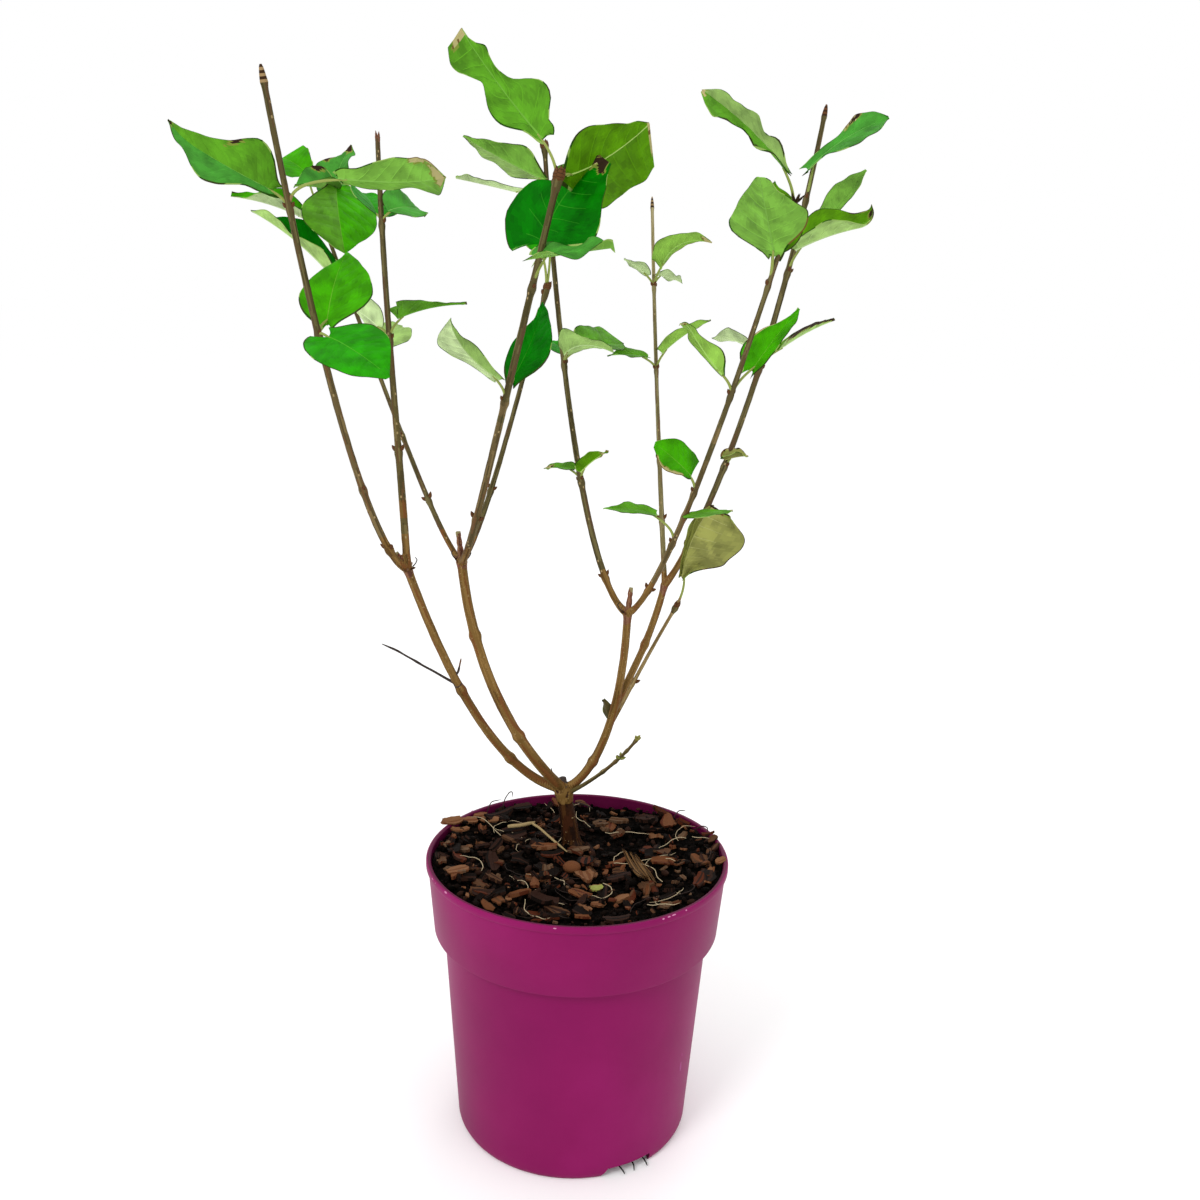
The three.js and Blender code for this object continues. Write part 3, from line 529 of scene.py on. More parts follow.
skin("leaf_tan", "#a69d6a", 0.7, 0.12, gloss=0.15)
skin("leaf_brown", "#655026", 0.7, 0.15, gloss=0.15)
skin("leaf_scorched", "#2e2016", 0.75, 0.15, gloss=0.15)
skin("stalk", "#86924a", 0.5, 0.05, gloss=0.2)
skin("stalk_red", "#85704a", 0.5, 0.05, gloss=0.2)
# Each bark's plain, dark, light and reddish streaks.
BARKS = {
    "trunk": ("#2f1809", "#1f0f07", "#452a12", "#3a1d0d"),
    "old": ("#6c5128", "#553d1b", "#7d6034", "#6b4422"),
    "stub": ("#694632", "#523527", "#7d5a42", "#704030"),
    "brown": ("#5f5032", "#4d4127", "#72613f", "#63482d"),
    "grey": ("#574c2b", "#463d23", "#6a5d39", "#5a4429"),
    "olive": ("#50472a", "#40391f", "#625937", "#54412a"),
    "pale": ("#746a45", "#62593a", "#867c57", "#6e5a3e"),
    "straw": ("#826d45", "#6f5c39", "#938058", "#786341"),
    "bleached": ("#978a63", "#83774f", "#a69a74", "#8b7c58"),
}
for bark, tints in BARKS.items():
    for shade, tint in zip("abcd", tints):
        skin(f"bark_{bark}_{shade}", tint, 0.6, 0.1, 1400, 0.25)
skin("lenticel", "#94805a", 0.7, 0.05, gloss=0.2)
skin("bud_brown", "#5c3a20", 0.5, 0.05, gloss=0.25)
skin("bud_dark", "#33200f", 0.55, 0.05, gloss=0.25)
skin("bud_green", "#858a44", 0.5, 0.05, gloss=0.25)
skin("bud_pale", "#8f7650", 0.55, 0.05)
skin("dead", "#3a302c", 0.7, 0.1)
skin("dead_dark", "#241e1c", 0.7, 0.1)
skin("pot_plastic", "#7c0b4f", 0.46, 0.02, 400, 0.3)
mottle("pot_plastic", [(0.3, "#74084a"), (0.5, "#7c0b4f"), (0.72, "#861158")], 12)
skin("pot_scuff", "#c07a9f", 0.6)
skin("pot_worn", "#97457a", 0.6)
# The pot's inside is the same plastic as its outside, given a darker colour: painted shade.
skin("pot_inside", "#560a34", 0.45, 0.02, 400, 0.3)
mottle("pot_inside", [(0.3, "#4c082d"), (0.7, "#5e0c3a")], 12)
for name, tint in (("soil_a", "#080504"), ("soil_b", "#030201"), ("soil_c", "#120b08")):
    skin(name, tint, 0.9, 0.5, 900, 0.1)
CHIP_TINTS = {
    "chip_brown": "#4e3422", "chip_rust": "#623b23", "chip_tan": "#755036", "chip_red": "#4b2212",
    "chip_grey": "#5c4634", "chip_dark": "#2a1811", "chip_black": "#110a07",
}
for name, tint in CHIP_TINTS.items():
    skin(name, tint, 0.75, 0.3, 900, 0.2)
skin("rootlet", "#b3a283", 0.7, gloss=0.2)
skin("root_dark", "#2a1e19", 0.7)
for name, tint in (("dry_wood", "#97835c"), ("split_wood", "#6f5233"), ("split_wood_dark", "#3b2a1b")):
    skin(name, tint, 0.75, 0.2, 900, 0.2)


# ---- Pieces ----


class Soup:
    """The points and faces of one piece, in millimetres, with the skin of each face."""

    def __init__(self):
        self.points, self.faces, self.names = [], [], []
        self.count = 0

    def add(self, points, faces, names):
        points = np.asarray(points, float).reshape(-1, 3)
        self.points.append(points)
        self.faces += [tuple(int(i) + self.count for i in face) for face in faces]
        self.names += [names] * len(faces) if isinstance(names, str) else list(names)
        self.count += len(points)

    def mesh(self, name):
        mesh = bpy.data.meshes.new(name)
        mesh.from_pydata((np.vstack(self.points) * MM).tolist(), [], self.faces)
        return mesh

    def piece(self, name, slot, nodes=(), sharp=40):
        mesh = self.mesh(name)
        dress(mesh, self.names)
        place_piece(name, mesh, nodes, sharp)


def dress(mesh, names):
    """Gives each face its skin by name."""
    kinds = sorted(set(names))
    for kind in kinds:
        mesh.materials.append(skins[kind])
    order = {kind: index for index, kind in enumerate(kinds)}
    mesh.polygons.foreach_set("material_index", [order[name] for name in names])


def place_piece(name, mesh, nodes, sharp):
    """Puts a mesh in the scene in place of its nodes, smooth where it bends by less than sharp degrees."""
    mesh.polygons.foreach_set("use_smooth", [True] * len(mesh.polygons))
    mesh.set_sharp_from_angle(angle=math.radians(sharp))
    piece = add_object(name, mesh)
    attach(piece, "root")
    if nodes:
        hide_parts(*nodes)


def grid_faces(rows, columns, wrap=False):
    """The quads of a grid of points, row by row."""
    faces = []
    for i in range(rows - 1):
        one, two = i * columns, (i + 1) * columns
        for j in range(columns if wrap else columns - 1):
            k = (j + 1) % columns
            faces.append((one + j, two + j, two + k, one + k))
    return faces


def ring_faces(rows, columns):
    """The faces of rings of points, closed at both ends by fans: the fans' two middles come last."""
    faces = grid_faces(rows, columns, wrap=True)
    first, final, last = rows * columns, rows * columns + 1, (rows - 1) * columns
    for j in range(columns):
        k = (j + 1) % columns
        faces += [(first, j, k), (final, last + k, last + j)]
    return faces


def slab_faces(rows, columns):
    """The faces of a grid of points, of the same grid below it, and of the rim that joins them:
    along the first row, down the last column, and back along the last row and the first column."""
    quads, count = grid_faces(rows, columns), rows * columns
    rim = [*range(columns), *range(2 * columns - 1, count, columns)]
    rim += [*range(count - 2, count - columns - 1, -1), *range(count - 2 * columns, 0, -columns)]
    below = [tuple(i + count for i in quad[::-1]) for quad in quads]
    return quads + below + [(one, two, two + count, one + count) for one, two in zip(rim, rim[1:] + rim[:1])]


def tube(soup, path, radii, names, sides=8, side=None):
    """A closed tube along a path. radii is a radius for each point, or for each of its corners,
    and names is one skin or a function from row and corner to one."""
    path = np.asarray(path, float)
    radii = np.asarray(radii, float)
    if radii.ndim == 1:
        radii = np.repeat(radii[:, None], sides, axis=1)
    along = np.gradient(path, axis=0)
    along /= np.linalg.norm(along, axis=1)[:, None]
    if side is None:
        side = np.cross(along[len(along) // 2], (0.31, 0.52, 0.8))
    across = side - along * (along @ side)[:, None]
    across /= np.linalg.norm(across, axis=1)[:, None]
    facing = np.cross(across, along)
    angles = 2 * math.pi * np.arange(sides) / sides
    ring = facing[:, None] * np.cos(angles)[None, :, None] + across[:, None] * np.sin(angles)[None, :, None]
    points = (path[:, None] + ring * radii[:, :, None]).reshape(-1, 3)
    rows = len(path)
    faces = [face[::-1] for face in ring_faces(rows, sides)]
    if not isinstance(names, str):
        dealt = [names(i, j) for i in range(rows - 1) for j in range(sides)]
        names = dealt + [names(0, 0), names(rows - 1, 0)] * sides
    soup.add(np.vstack([points, path[0], path[-1]]), faces, names)


def thread(soup, path, radius, name, sides=5, count=60):
    """A thin tube on a smooth line through a few places, tapered at both ends."""
    path = np.asarray(path, float)
    stops = np.arange(len(path))
    fine = np.linspace(0, len(path) - 1, count)
    line = np.stack([np.interp(fine, stops, path[:, axis]) for axis in range(3)], -1)
    for _ in range(int(count / len(path))):
        line[1:-1] = (line[:-2] + 2 * line[1:-1] + line[2:]) / 4
    taper = np.interp(np.linspace(0, 1, count), (0, 0.1, 0.8, 1), (0.7, 1, 0.9, 0.4))
    tube(soup, line, radius * taper, name, sides)


def blob(soup, place, axes, name, sides=6, rings=4):
    """A closed lump: axes are its three half axes as rows, right-handed."""
    polar = (math.pi * np.arange(1, rings) / rings)[:, None]
    turn = 2 * math.pi * np.arange(sides) / sides
    spots = [np.sin(polar) * np.cos(turn), np.sin(polar) * np.sin(turn), np.cos(polar) * np.ones(sides)]
    unit_points = np.vstack([np.stack(spots, axis=-1).reshape(-1, 3), (0, 0, 1), (0, 0, -1)])
    soup.add(unit_points @ np.asarray(axes, float) + place, ring_faces(rings - 1, sides), name)


# ---- Limbs ----


class Limb:
    """The centre line of one limb, and the leaves on it."""

    def __init__(self, start, spec, leaves=()):
        self.spec = spec
        self.leaves = leaves
        self.start = np.array(start, float)
        self.out = direction(spec["heading"]) * spec["reach"]
        self.side = direction(spec["heading"] + 90)
        self.rise, self.climb, self.sway = spec["rise"], spec.get("climb", 1), spec.get("sway", 0)
        self.shares = np.linspace(0, 1, 401)
        steps = np.linalg.norm(np.diff(self.at(self.shares), axis=0), axis=1)
        self.lengths = np.concatenate([[0], np.cumsum(steps)])
        self.length = self.lengths[-1]

    def at(self, t):
        """Its places at shares of its course."""
        t = np.atleast_1d(np.asarray(t, float))[:, None]
        swing = self.side * 4 * t * (1 - t) * self.sway
        return self.start + self.out * t + swing + UP * self.rise * t**self.climb

    def point(self, t):
        return self.at(t)[0]

    def tangent(self, t):
        return unit(self.point(min(t + 0.002, 1)) - self.point(max(t - 0.002, 0)))

    def share(self, length):
        return np.interp(length, self.lengths, self.shares)

    def length_at(self, t):
        return np.interp(t, self.shares, self.lengths)

    def radii(self, lengths, collar=0.2):
        """Its radius at lengths along it, with its swollen foot, its knots and its tip."""
        thick, thin = self.spec["radius"]
        radius = thick + (thin - thick) * self.share(lengths)
        swell = 1 + collar * np.exp(-((lengths / 6) ** 2))
        leafy = {leaf.at for leaf in self.leaves}
        for knot in (*self.spec.get("knots", ()), *leafy):
            swell = swell + 0.3 * np.exp(-(((lengths - self.length_at(knot)) / 2.2) ** 2))
        left = self.length - lengths
        if self.spec.get("tip") == "bud":
            swell = swell * np.interp(left, (0, 1.5, 4, 7, 8.5, 10), (0.35, 0.75, 1.05, 1.3, 1.1, 1))
        if self.spec.get("tip") == "knuckle":
            swell = swell * np.interp(left, (0, 0.4, 2, 4, 6, 8), (0.7, 1.25, 1.55, 1.45, 1.15, 1))
        return radius * swell

    def stretch(self, low, high, step=1.5):
        """Lengths along it and its places there."""
        lengths = np.linspace(low, high, max(3, int((high - low) / step)))
        return lengths, self.at(self.share(lengths))


def trunk_place(height):
    lean = direction(TRUNK.heading) * TRUNK.lean * height / TRUNK.height
    return np.array(TRUNK.foot) + UP * height + lean


def start_of(spec):
    """Where a limb starts: at the crotch, or so far above it, or at a share of a bough or its end."""
    parent, *place = spec["start"]
    if parent == "crotch":
        return CROTCH + UP * (place[0] if place else 0)
    return limbs[parent].point(place[0] if place else 1)


CROTCH = trunk_place(TRUNK.height)
limbs = {}
for bough, spec in BOUGHS.items():
    limbs[bough] = Limb(start_of(spec), spec)
shoots = {name: Limb(start_of(spec), spec, LEAVES[name]) for name, spec in SHOOTS.items()}
dead_twig = Limb(start_of(DEAD_TWIG), DEAD_TWIG)
crotch_twig = Limb(start_of(CROTCH_TWIG), CROTCH_TWIG)


def bark_name(bark, place, around, seed):
    """The skin of bark at a place along a limb: long streaks in four tints, with a few pale pores."""
    c, d = math.cos(around), math.sin(around)
    streak = noise.noise(Vector((c * 1.9, d * 1.9, place / 26 + seed)))
    streak += 0.35 * noise.noise(Vector((c * 5, d * 5, place / 9 - seed)))
    pore = noise.noise(Vector((c * 3.1 + 9, d * 3.1 + seed, place / 1.1)))
    if pore > 0.62:
        return "lenticel"
    red = noise.noise(Vector((c * 1.3 - 7, d * 1.3 + seed, place / 17)))
    if red > 0.3:
        return f"bark_{bark}_d"
    return f"bark_{bark}_" + ("b" if streak < -0.2 else "c" if streak > 0.22 else "a")


def bud(soup, place, axis, long, wide, name="bud_brown", tip="bud_dark"):
    """A pointed bud of overlapping scales, with its foot at place."""
    steps = np.array((-0.12, 0.08, 0.26, 0.3, 0.5, 0.54, 0.74, 0.78, 0.92, 1.02))
    widths = np.array((0.5, 0.92, 1.04, 0.96, 0.98, 0.84, 0.66, 0.54, 0.28, 0.06))
    path = place + np.outer(steps * long, unit(axis))
    tube(soup, path, widths * wide / 2, lambda i, j: tip if i in (2, 4, 6, 8) else name, sides=8)


def bud_pair(soup, limb, length, heading, long=3.0, name="bud_brown"):
    """Two buds that face each other across a limb."""
    place, along = limb.point(limb.share(length)), limb.tangent(limb.share(length))
    out = direction(heading)
    out = unit(out - along * (out @ along))
    radius = float(limb.radii(np.array([length]))[0])
    for way in (out, -out):
        bud(soup, place + way * radius * 0.75, unit(way * 0.75 + along), long, long * 0.62, name)


# ---- Wood: the trunk, the boughs and the foot of each shoot in one skin ----

VOXEL, QUICK_VOXEL = 0.42, 0.9
BARK_DEPTHS = {"trunk": 0.26, "stub": 0.3}
PLAIN_BARK_DEPTH = 0.14
TRUNK_BARK_HEIGHT = 31
# Each ridge that runs from the trunk into the compost: its heading, reach and radius.
ROOT_RIDGES = ((20, 6, 2.6), (110, 7, 2.8), (215, 6, 2.4), (300, 7, 2.7))

wood = Soup()
spine = []  # (place, kind of bark, length left to the end, axis) along each limb


def wood_tube(path, radii, bark, sides=14):
    tube(wood, path, radii, "bark_old_a", sides)
    lengths = np.concatenate([[0], np.cumsum(np.linalg.norm(np.diff(path, axis=0), axis=1))])
    axes = np.gradient(path, axis=0)
    for point, length, axis in zip(path, lengths, axes):
        spine.append((point, bark, lengths[-1] - length, unit(axis)))


def lay_wood():
    """The wood as tubes that run into each other."""
    heights = np.linspace(TRUNK.profile[0][0], TRUNK.profile[-1][0], 36)
    radii = np.interp(heights, *zip(*TRUNK.profile))
    wood_tube(np.array([trunk_place(h) for h in heights]), radii, "trunk", 20)
    for heading, out, thick in ROOT_RIDGES:
        root = [(1, 6), (0.55 * out, 2.2), (out, -0.6), (out + 3, -2.6)]
        path = np.array([trunk_place(h) + direction(heading) * d for d, h in root])
        wood_tube(path, np.array([thick, thick, thick * 0.8, thick * 0.5]), "trunk")
    broken = Limb(CROTCH + UP * 1.5, TRUNK.broken_top)
    lengths, path = broken.stretch(0, broken.length)
    wood_tube(path, np.interp(lengths, (0, broken.length), (2.7, 2.0)), "dead")
    for name, spec in BOUGHS.items():
        limb = limbs[name]
        lengths, path = limb.stretch(0, limb.length)
        radii = limb.radii(lengths, 0.12) * (1 + 0.25 * np.exp(-(((limb.length - lengths) / 3) ** 2)))
        wood_tube(path, radii, "old")
        if "stub" in spec:
            stub = Limb(limb.point(1), spec["stub"])
            lengths, path = stub.stretch(0, stub.length)
            wood_tube(path, stub.radii(lengths, 0.3) * (1 + 0.12 * np.sin(lengths * 1.3)), "stub")
    for limb in (*shoots.values(), crotch_twig, dead_twig):
        reach = 14 if limb.length > 60 else 9
        lengths, path = limb.stretch(0, reach)
        blend = np.interp(lengths, (0, reach * 0.5, reach), (1.12, 1.04, 0.8))
        wood_tube(path, limb.radii(lengths, 0.15) * blend, "dead" if limb is dead_twig else "old")


def bark_relief(point, middle, bark, axis):
    """How far the bark stands out at a point: lumps along the grain, fine grit and furrows."""
    out = point - middle
    out = out - axis * (out @ axis)
    grain = (*(unit(out)[:2] * 2.4), point[2] / 9)
    coarse = noise.noise(Vector(grain))
    fine = noise.noise(Vector(point) / 0.9)
    furrow = noise.noise(Vector((grain[0] * 2.3, grain[1] * 2.3, point[2] / 5)))
    depth = BARK_DEPTHS.get(bark, PLAIN_BARK_DEPTH)
    return depth * (coarse + 0.35 * fine - 0.65 * max(0, 0.12 - abs(furrow)) / 0.12)


def wood_name(point, middle, bark, left):
    """The skin of the wood at a point. Boughs are dark like the trunk at their foot, and reddish
    like the stubs at their end, where a stub's own tip is pale."""
    patchy = wobble(point, 6) + 0.3 * wobble(point, 1.8, 2)
    if bark == "dead":
        return "dead" if patchy > -0.1 else "dead_dark"
    if bark == "stub" and left < 1.6 + 1.5 * patchy:
        return "bark_pale_c"
    kind = bark
    if bark != "stub":
        kind = "trunk" if (point[2] - TRUNK.foot[2] - TRUNK_BARK_HEIGHT) / 9 + patchy < 0 else "old"
        if bark == "old" and left < 5 + 5 * patchy:
            kind = "stub"
    around = math.atan2(point[1] - middle[1], point[0] - middle[0])
    return bark_name(kind, point[2], around, 3.0)


def build_wood():
    """The tubes melted into one closed skin, with the relief of bark."""
    lay_wood()
    rough = add_object("rough_wood", wood.mesh("rough_wood"))
    melt = rough.modifiers.new("melt", "REMESH")
    melt.mode = "VOXEL"
    melt.voxel_size = VOXEL * MM
    rough.modifiers.new("soften", "SMOOTH").iterations = 3
    mesh = settled(rough)
    count = len(mesh.vertices)
    points, normals = np.empty(count * 3), np.empty(count * 3)
    mesh.vertices.foreach_get("co", points)
    mesh.vertices.foreach_get("normal", normals)
    points, normals = points.reshape(-1, 3) / MM, normals.reshape(-1, 3)
    tree = kdtree.KDTree(len(spine))
    for index, (place, *_) in enumerate(spine):
        tree.insert(place, index)
    tree.balance()
    nearest = [tree.find(point)[1] for point in points]
    lift = np.zeros(count)
    for index, point in enumerate(points):
        middle, bark, _, axis = spine[nearest[index]]
        lift[index] = bark_relief(point, middle, bark, axis)
    points += normals * lift[:, None]
    mesh.vertices.foreach_set("co", (points * MM).ravel())
    names = []
    for polygon in mesh.polygons:
        middle, bark, left, _ = spine[nearest[polygon.vertices[0]]]
        names.append(wood_name(points[list(polygon.vertices)].mean(0), middle, bark, left))
    mesh.materials.clear()
    dress(mesh, names)
    place_piece("wood", mesh, ("trunk", *("bough_" + name for name in BOUGHS)), 60)


def add_scales():
    """The ragged scales and black curls that old buds left where boughs fork, and dead scraps."""
    soup, draw = Soup(), random_source(61)
    for name, spec in BOUGHS.items():
        if "stub" not in spec:
            continue
        fork = limbs[name].point(1)
        for k in range(9):
            around = direction(40 * k + 20 * draw())
            place = fork + around * (1.6 + 1.2 * draw()) - UP * (3 * draw() - 1.5)
            axis = unit(around * (0.5 + draw()) + UP * (draw() + 0.2))
            kind = ("bud_brown", "bark_stub_c", "bud_dark")[k % 3]
            bud(soup, place, axis, 1.6 + 1.8 * draw(), 0.9 + 0.9 * draw(), kind)
        for way in (-1, 1):
            at = fork + (3.2 * way, -1.5, 1)
            curl = [at, at + (1.6 * way, -0.6, 1.8), at + (2.6 * way, -0.4, 4), at + (1.2 * way, 0, 5.2)]
            thread(soup, curl, 0.34, "dead_dark", 6, 16)
    at = limbs["left"].point(0.69)
    thread(soup, [at, at + (2.6, -1.4, 3), at + (3.4, -1.4, 7)], 0.75, "dead", 7, 14)
    thread(soup, [at + (3.2, -1.4, 6), at + (4.2, -1.2, 11)], 0.5, "bud_brown", 6, 8)
    at = CROTCH + (-5.2, -1.5, 2)
    thread(soup, [at, at + (-0.8, 0, 5), at + (-2, 0.4, 11)], 0.55, "dead_dark", 6, 14)
    at = CROTCH + (7, -2, -7)
    for k in range(4):
        curl = [at, at + (3 + k, -0.6 * k, 0.8 - 0.6 * k), at + (6 + 1.4 * k, -1, -1.2 * k)]
        thread(soup, curl, 0.5, ("bud_brown", "dead_dark")[k % 2], 6, 12)
    # a dead scrap of leaf on the right bough
    at = limbs["right"].point(0.56)
    scrap = oval(0, (0, 0, 0), (172, 74, 75), (12, 8), "withered/withered", fold=40, droop=50, wave=0.12)
    add_blade(soup, at + (-1.8, -1.2, 0), scrap, (0.2, 0.7), 9)
    soup.piece("scales", "old_bark", (), 50)


# ---- Leaves ----

# The foot of the midrib, the places where its side veins leave it, and its tip.
VEIN_MARKS = (0.0, 0.04, 0.14, 0.27, 0.41, 0.56, 0.71, 0.85, 1.0)
ROWS_BETWEEN = 5  # rows of points between two side veins
COLUMNS = 12  # columns of points in each half
BETWEEN = 9  # stands for the flank of a row that isn't at a vein
WIDEST_AT = 0.36  # the share of its length at which a plain blade is widest
NARROWEST_HALF = 0.4


def outline(s):
    """A plain blade's half width along its midrib, from 0 at both ends to 1 at its widest."""
    around = np.sin(np.pi * np.clip(s, 0, 1) ** (math.log(0.5) / math.log(WIDEST_AT))) ** 0.85
    return around * (1 - 0.25 * s**4) * (1 - 0.3 * np.clip((s - 0.78) / 0.22, 0, 1) ** 2)


def smooth_line(values, s):
    """A smooth line through values evenly spaced from 0 to 1, read at places s."""
    values = np.asarray(values, float)
    slopes = np.gradient(values)
    at = np.clip(s, 0, 1) * (len(values) - 1)
    low = np.clip(at.astype(int), 0, len(values) - 2)
    t = at - low
    ends = (1 + 2 * t) * (1 - t) ** 2 * values[low] + t**2 * (3 - 2 * t) * values[low + 1]
    return ends + t * (1 - t) ** 2 * slopes[low] - t**2 * (1 - t) * slopes[low + 1]


def half_width(s, v, leaf):
    """Half the blade's width along it, on the side that v is on."""
    if leaf.left is None:
        return np.maximum(NARROWEST_HALF, 0.5 * leaf.size[1] * outline(s))
    traced = np.where(v > 0, smooth_line(leaf.left, s), smooth_line(leaf.right, s))
    return np.maximum(NARROWEST_HALF, traced)


def blade_placer(base, leaf, phases):
    """Where a blade's points lie, for arrays of s, v and height, with finer folds than the solid.
    s runs along the midrib from 0 to 1, and v across the blade from -1 to 1."""
    long = leaf.size[0]
    heading, lift, roll = leaf.blade
    along = direction(heading, lift)
    right = direction(heading - 90)
    upright = np.cross(right, along)
    up = upright * math.cos(math.radians(roll)) + right * math.sin(math.radians(roll))
    left = np.cross(up, along)
    bend = math.radians(leaf.droop)
    stretch = long * (bend / 2) / math.sin(bend / 2)
    fold = math.tan(math.radians(leaf.fold))
    hook = math.radians(leaf.hook)

    def place(s, v, height=0.0):
        half = half_width(s, v, leaf)
        turn = bend * (0.5 - s)
        phase = np.where(v > 0, phases[1], phases[0])
        ripple = np.sin(2 * np.pi * (1.6 * s + phase)) * np.sqrt(s)
        frill = np.sin(2 * np.pi * (4.7 * s + 2.3 * phase)) * np.abs(v) ** 3 * s * 0.012 * leaf.frill
        lobe = leaf.lobe * long * v * v * (1 - s) ** 4 * np.abs(s) ** 0.25
        x = stretch * (math.sin(bend / 2) - np.sin(turn)) / bend - lobe
        y = half * v + 4 * s * (1 - s) * leaf.bow * long
        arch = stretch * (np.cos(turn) - math.cos(bend / 2)) / bend
        z = arch + half * np.abs(v) * fold + leaf.wave * long * v * v * ripple + frill * long + height
        past = np.clip(s - 0.7, 0, None) * long
        curl = hook * past / (0.3 * long) + 1e-6
        x = x + past * (np.sin(curl) / curl - 1)
        z = z + past * (1 - np.cos(curl)) / curl
        return base + x[..., None] * along + y[..., None] * left + z[..., None] * up

    return place, up


def leaf_rows():
    """The blade's rows as (place along the midrib, flank): each side vein has a row before it, one
    on it and one after it, with the flanks -1, 0 and 1."""
    rows = []
    for low, high in zip(VEIN_MARKS, VEIN_MARKS[1:]):
        rows += [(low, side) for side in (-1, 0, 1)] if low else [(low, BETWEEN)]
        rows += [(low + (high - low) * k / (ROWS_BETWEEN + 1), BETWEEN) for k in range(1, ROWS_BETWEEN + 1)]
    return rows + [(1.0, BETWEEN)]


ROW_PLACES, ROW_FLANKS = (np.array(values) for values in zip(*leaf_rows()))


def dry_value(leaf, s, v, place, seed):
    """How far inside a dry zone a spot lies: over 0 inside, and ragged at the edge."""
    value = -9.0
    for zone in leaf.burnt:
        if zone[0] == "tip":
            value = max(value, min((s - 1 + zone[1]) / zone[1] * 1.4, (0.7 - abs(v)) / 0.25))
        elif (v > 0) == (zone[0] == "left"):
            _, low, high, depth = zone
            value = max(value, min((abs(v) - 1 + depth) / depth, (s - low) / 0.06, (high - s) / 0.06))
    return value + 0.55 * wobble(place, 3.2, seed) if value > -2 else value


def dry_name(dry, spot, rim, dark, seed):
    """The skin inside a dry zone: yellow at its edge, then tan, with a brown or a scorched rim."""
    patch = wobble(spot, 2.4, seed + 5)
    if patch < 1.6 * dark - 0.8 and dry > 0.15:
        return "leaf_scorched"
    if rim:
        return "leaf_brown"
    if dry < 0.12:
        return "leaf_yellowing"
    return "leaf_tan" if patch < 0.45 - 0.6 * dark else "leaf_brown"


def blade_sides(leaf):
    """The places across a blade for each of its rows: rim, panel, rib, panel, rim."""
    r = ROW_PLACES
    steps = (np.arange(COLUMNS) / (COLUMNS - 1)) ** 0.92
    sides = []
    for way in (-1.0, 1.0):
        half = half_width(r, np.full(len(r), way), leaf)
        rib = np.clip(0.34 * (1 - 0.75 * r) * (leaf.size[0] / 50) ** 0.5 / half, 0.012, 0.3)
        edge = np.clip(0.24 / half, 0.012, 0.2)
        side = rib[:, None] + (1 - edge - rib)[:, None] * steps[None]
        sides.append(np.hstack([side, np.ones((len(r), 1))]) * way)
    return np.hstack([sides[0][:, ::-1], np.zeros((len(r), 1)), sides[1]])


def blade_steps(v):
    """The places along a blade of its points: the rows bend forward with the side veins."""
    r, a = ROW_PLACES[:, None], np.abs(v)
    warp = 0.52 * (1 - r) * (1 - np.exp(-5 * r))
    nudge = np.where(ROW_FLANKS == BETWEEN, 0, ROW_FLANKS)[:, None] * 0.2 / 50
    return np.clip(r + warp * a**1.2 + nudge * (1 - 0.7 * a), 0, 1)


def blade_relief(leaf, s, v, seed):
    """How far each point of a blade stands out: it puffs up between its veins and is crinkled."""
    r, a, long = ROW_PLACES, np.abs(v), leaf.size[0]
    marks = np.array(VEIN_MARKS)
    cell = np.clip(np.searchsorted(marks, r, side="right") - 1, 0, len(marks) - 2)
    inside = (r - marks[cell]) / (marks[cell + 1] - marks[cell])
    puff = 0.008 * long * np.sin(np.pi * inside)[:, None] * (1 - a**4) * (1 - np.exp(-a * 6))
    puff[0] = puff[-1] = 0
    crinkle = over_grid(lambda p, q: 0.3 * wobble((p * 36 + seed, q * 14, 0), 4.0, seed), r[:, None], v)
    relief = puff + crinkle * a * 0.6 * min(1, long / 50) ** 2.5
    if leaf.crumple:
        dents = over_grid(lambda p, q: wobble((p * long, q * 30, 0), 11, seed + 3), s, v)
        relief = relief + leaf.crumple * dents * a
    return relief


def blade_names(leaf, s, v, surface, seed):
    """The skins of a blade's faces, in rows: those of its upper side and those of its lower side."""
    long = leaf.size[0]
    rows, columns = v.shape
    ribs = (columns // 2 - 1, columns // 2)
    centres = (surface[:-1, :-1] + surface[1:, 1:]) / 2
    # each side of the blade has a tone for its left half and one for its right
    above, below = ((side.split("|") * 2)[:2] for side in leaf.tone.split("/"))

    def names(i, j):
        spot = centres[i, j]
        mid_s = (s[i, j] + s[i + 1, j + 1]) / 2
        mid_v = (v[i, j] + v[i + 1, j + 1]) / 2
        half = 0 if mid_v > 0 else 1
        rim = j in (0, columns - 2)
        dry = dry_value(leaf, mid_s, mid_v, spot, seed)
        if dry > -0.2:
            return (dry_name(dry, spot, rim, leaf.dark, seed),) * 2
        if rim:
            edge = wobble(spot, 9, seed + 2)
            return ("rim_dark" if edge > 0.12 else "rim_green" if edge > -0.2 else "rim_pale",) * 2
        if j in ribs:
            return above[half] + "_rib", below[half] + "_rib"
        tint = wobble(spot, 7, seed) + 0.4 * min(1, long / 50) * wobble(spot, 2.2, seed)
        tint += 0.25 * (0.5 - abs(mid_v))
        shade = DARK_TO_LIGHT[int(np.clip(2.5 + 3.4 * tint, 0, 4))]
        on_vein = ROW_FLANKS[i] in (-1, 0) and ROW_FLANKS[i + 1] in (0, 1)
        upper = "rib" if on_vein and abs(mid_v) < leaf.veins else shade
        lower = "e" if on_vein and abs(mid_v) < 0.8 and long > 28 else shade
        return f"{above[half]}_{upper}", f"{below[half]}_{lower}"

    pairs = [[names(i, j) for j in range(columns - 1)] for i in range(rows - 1)]
    return ([[pair[side] for pair in row] for row in pairs] for side in (0, 1))


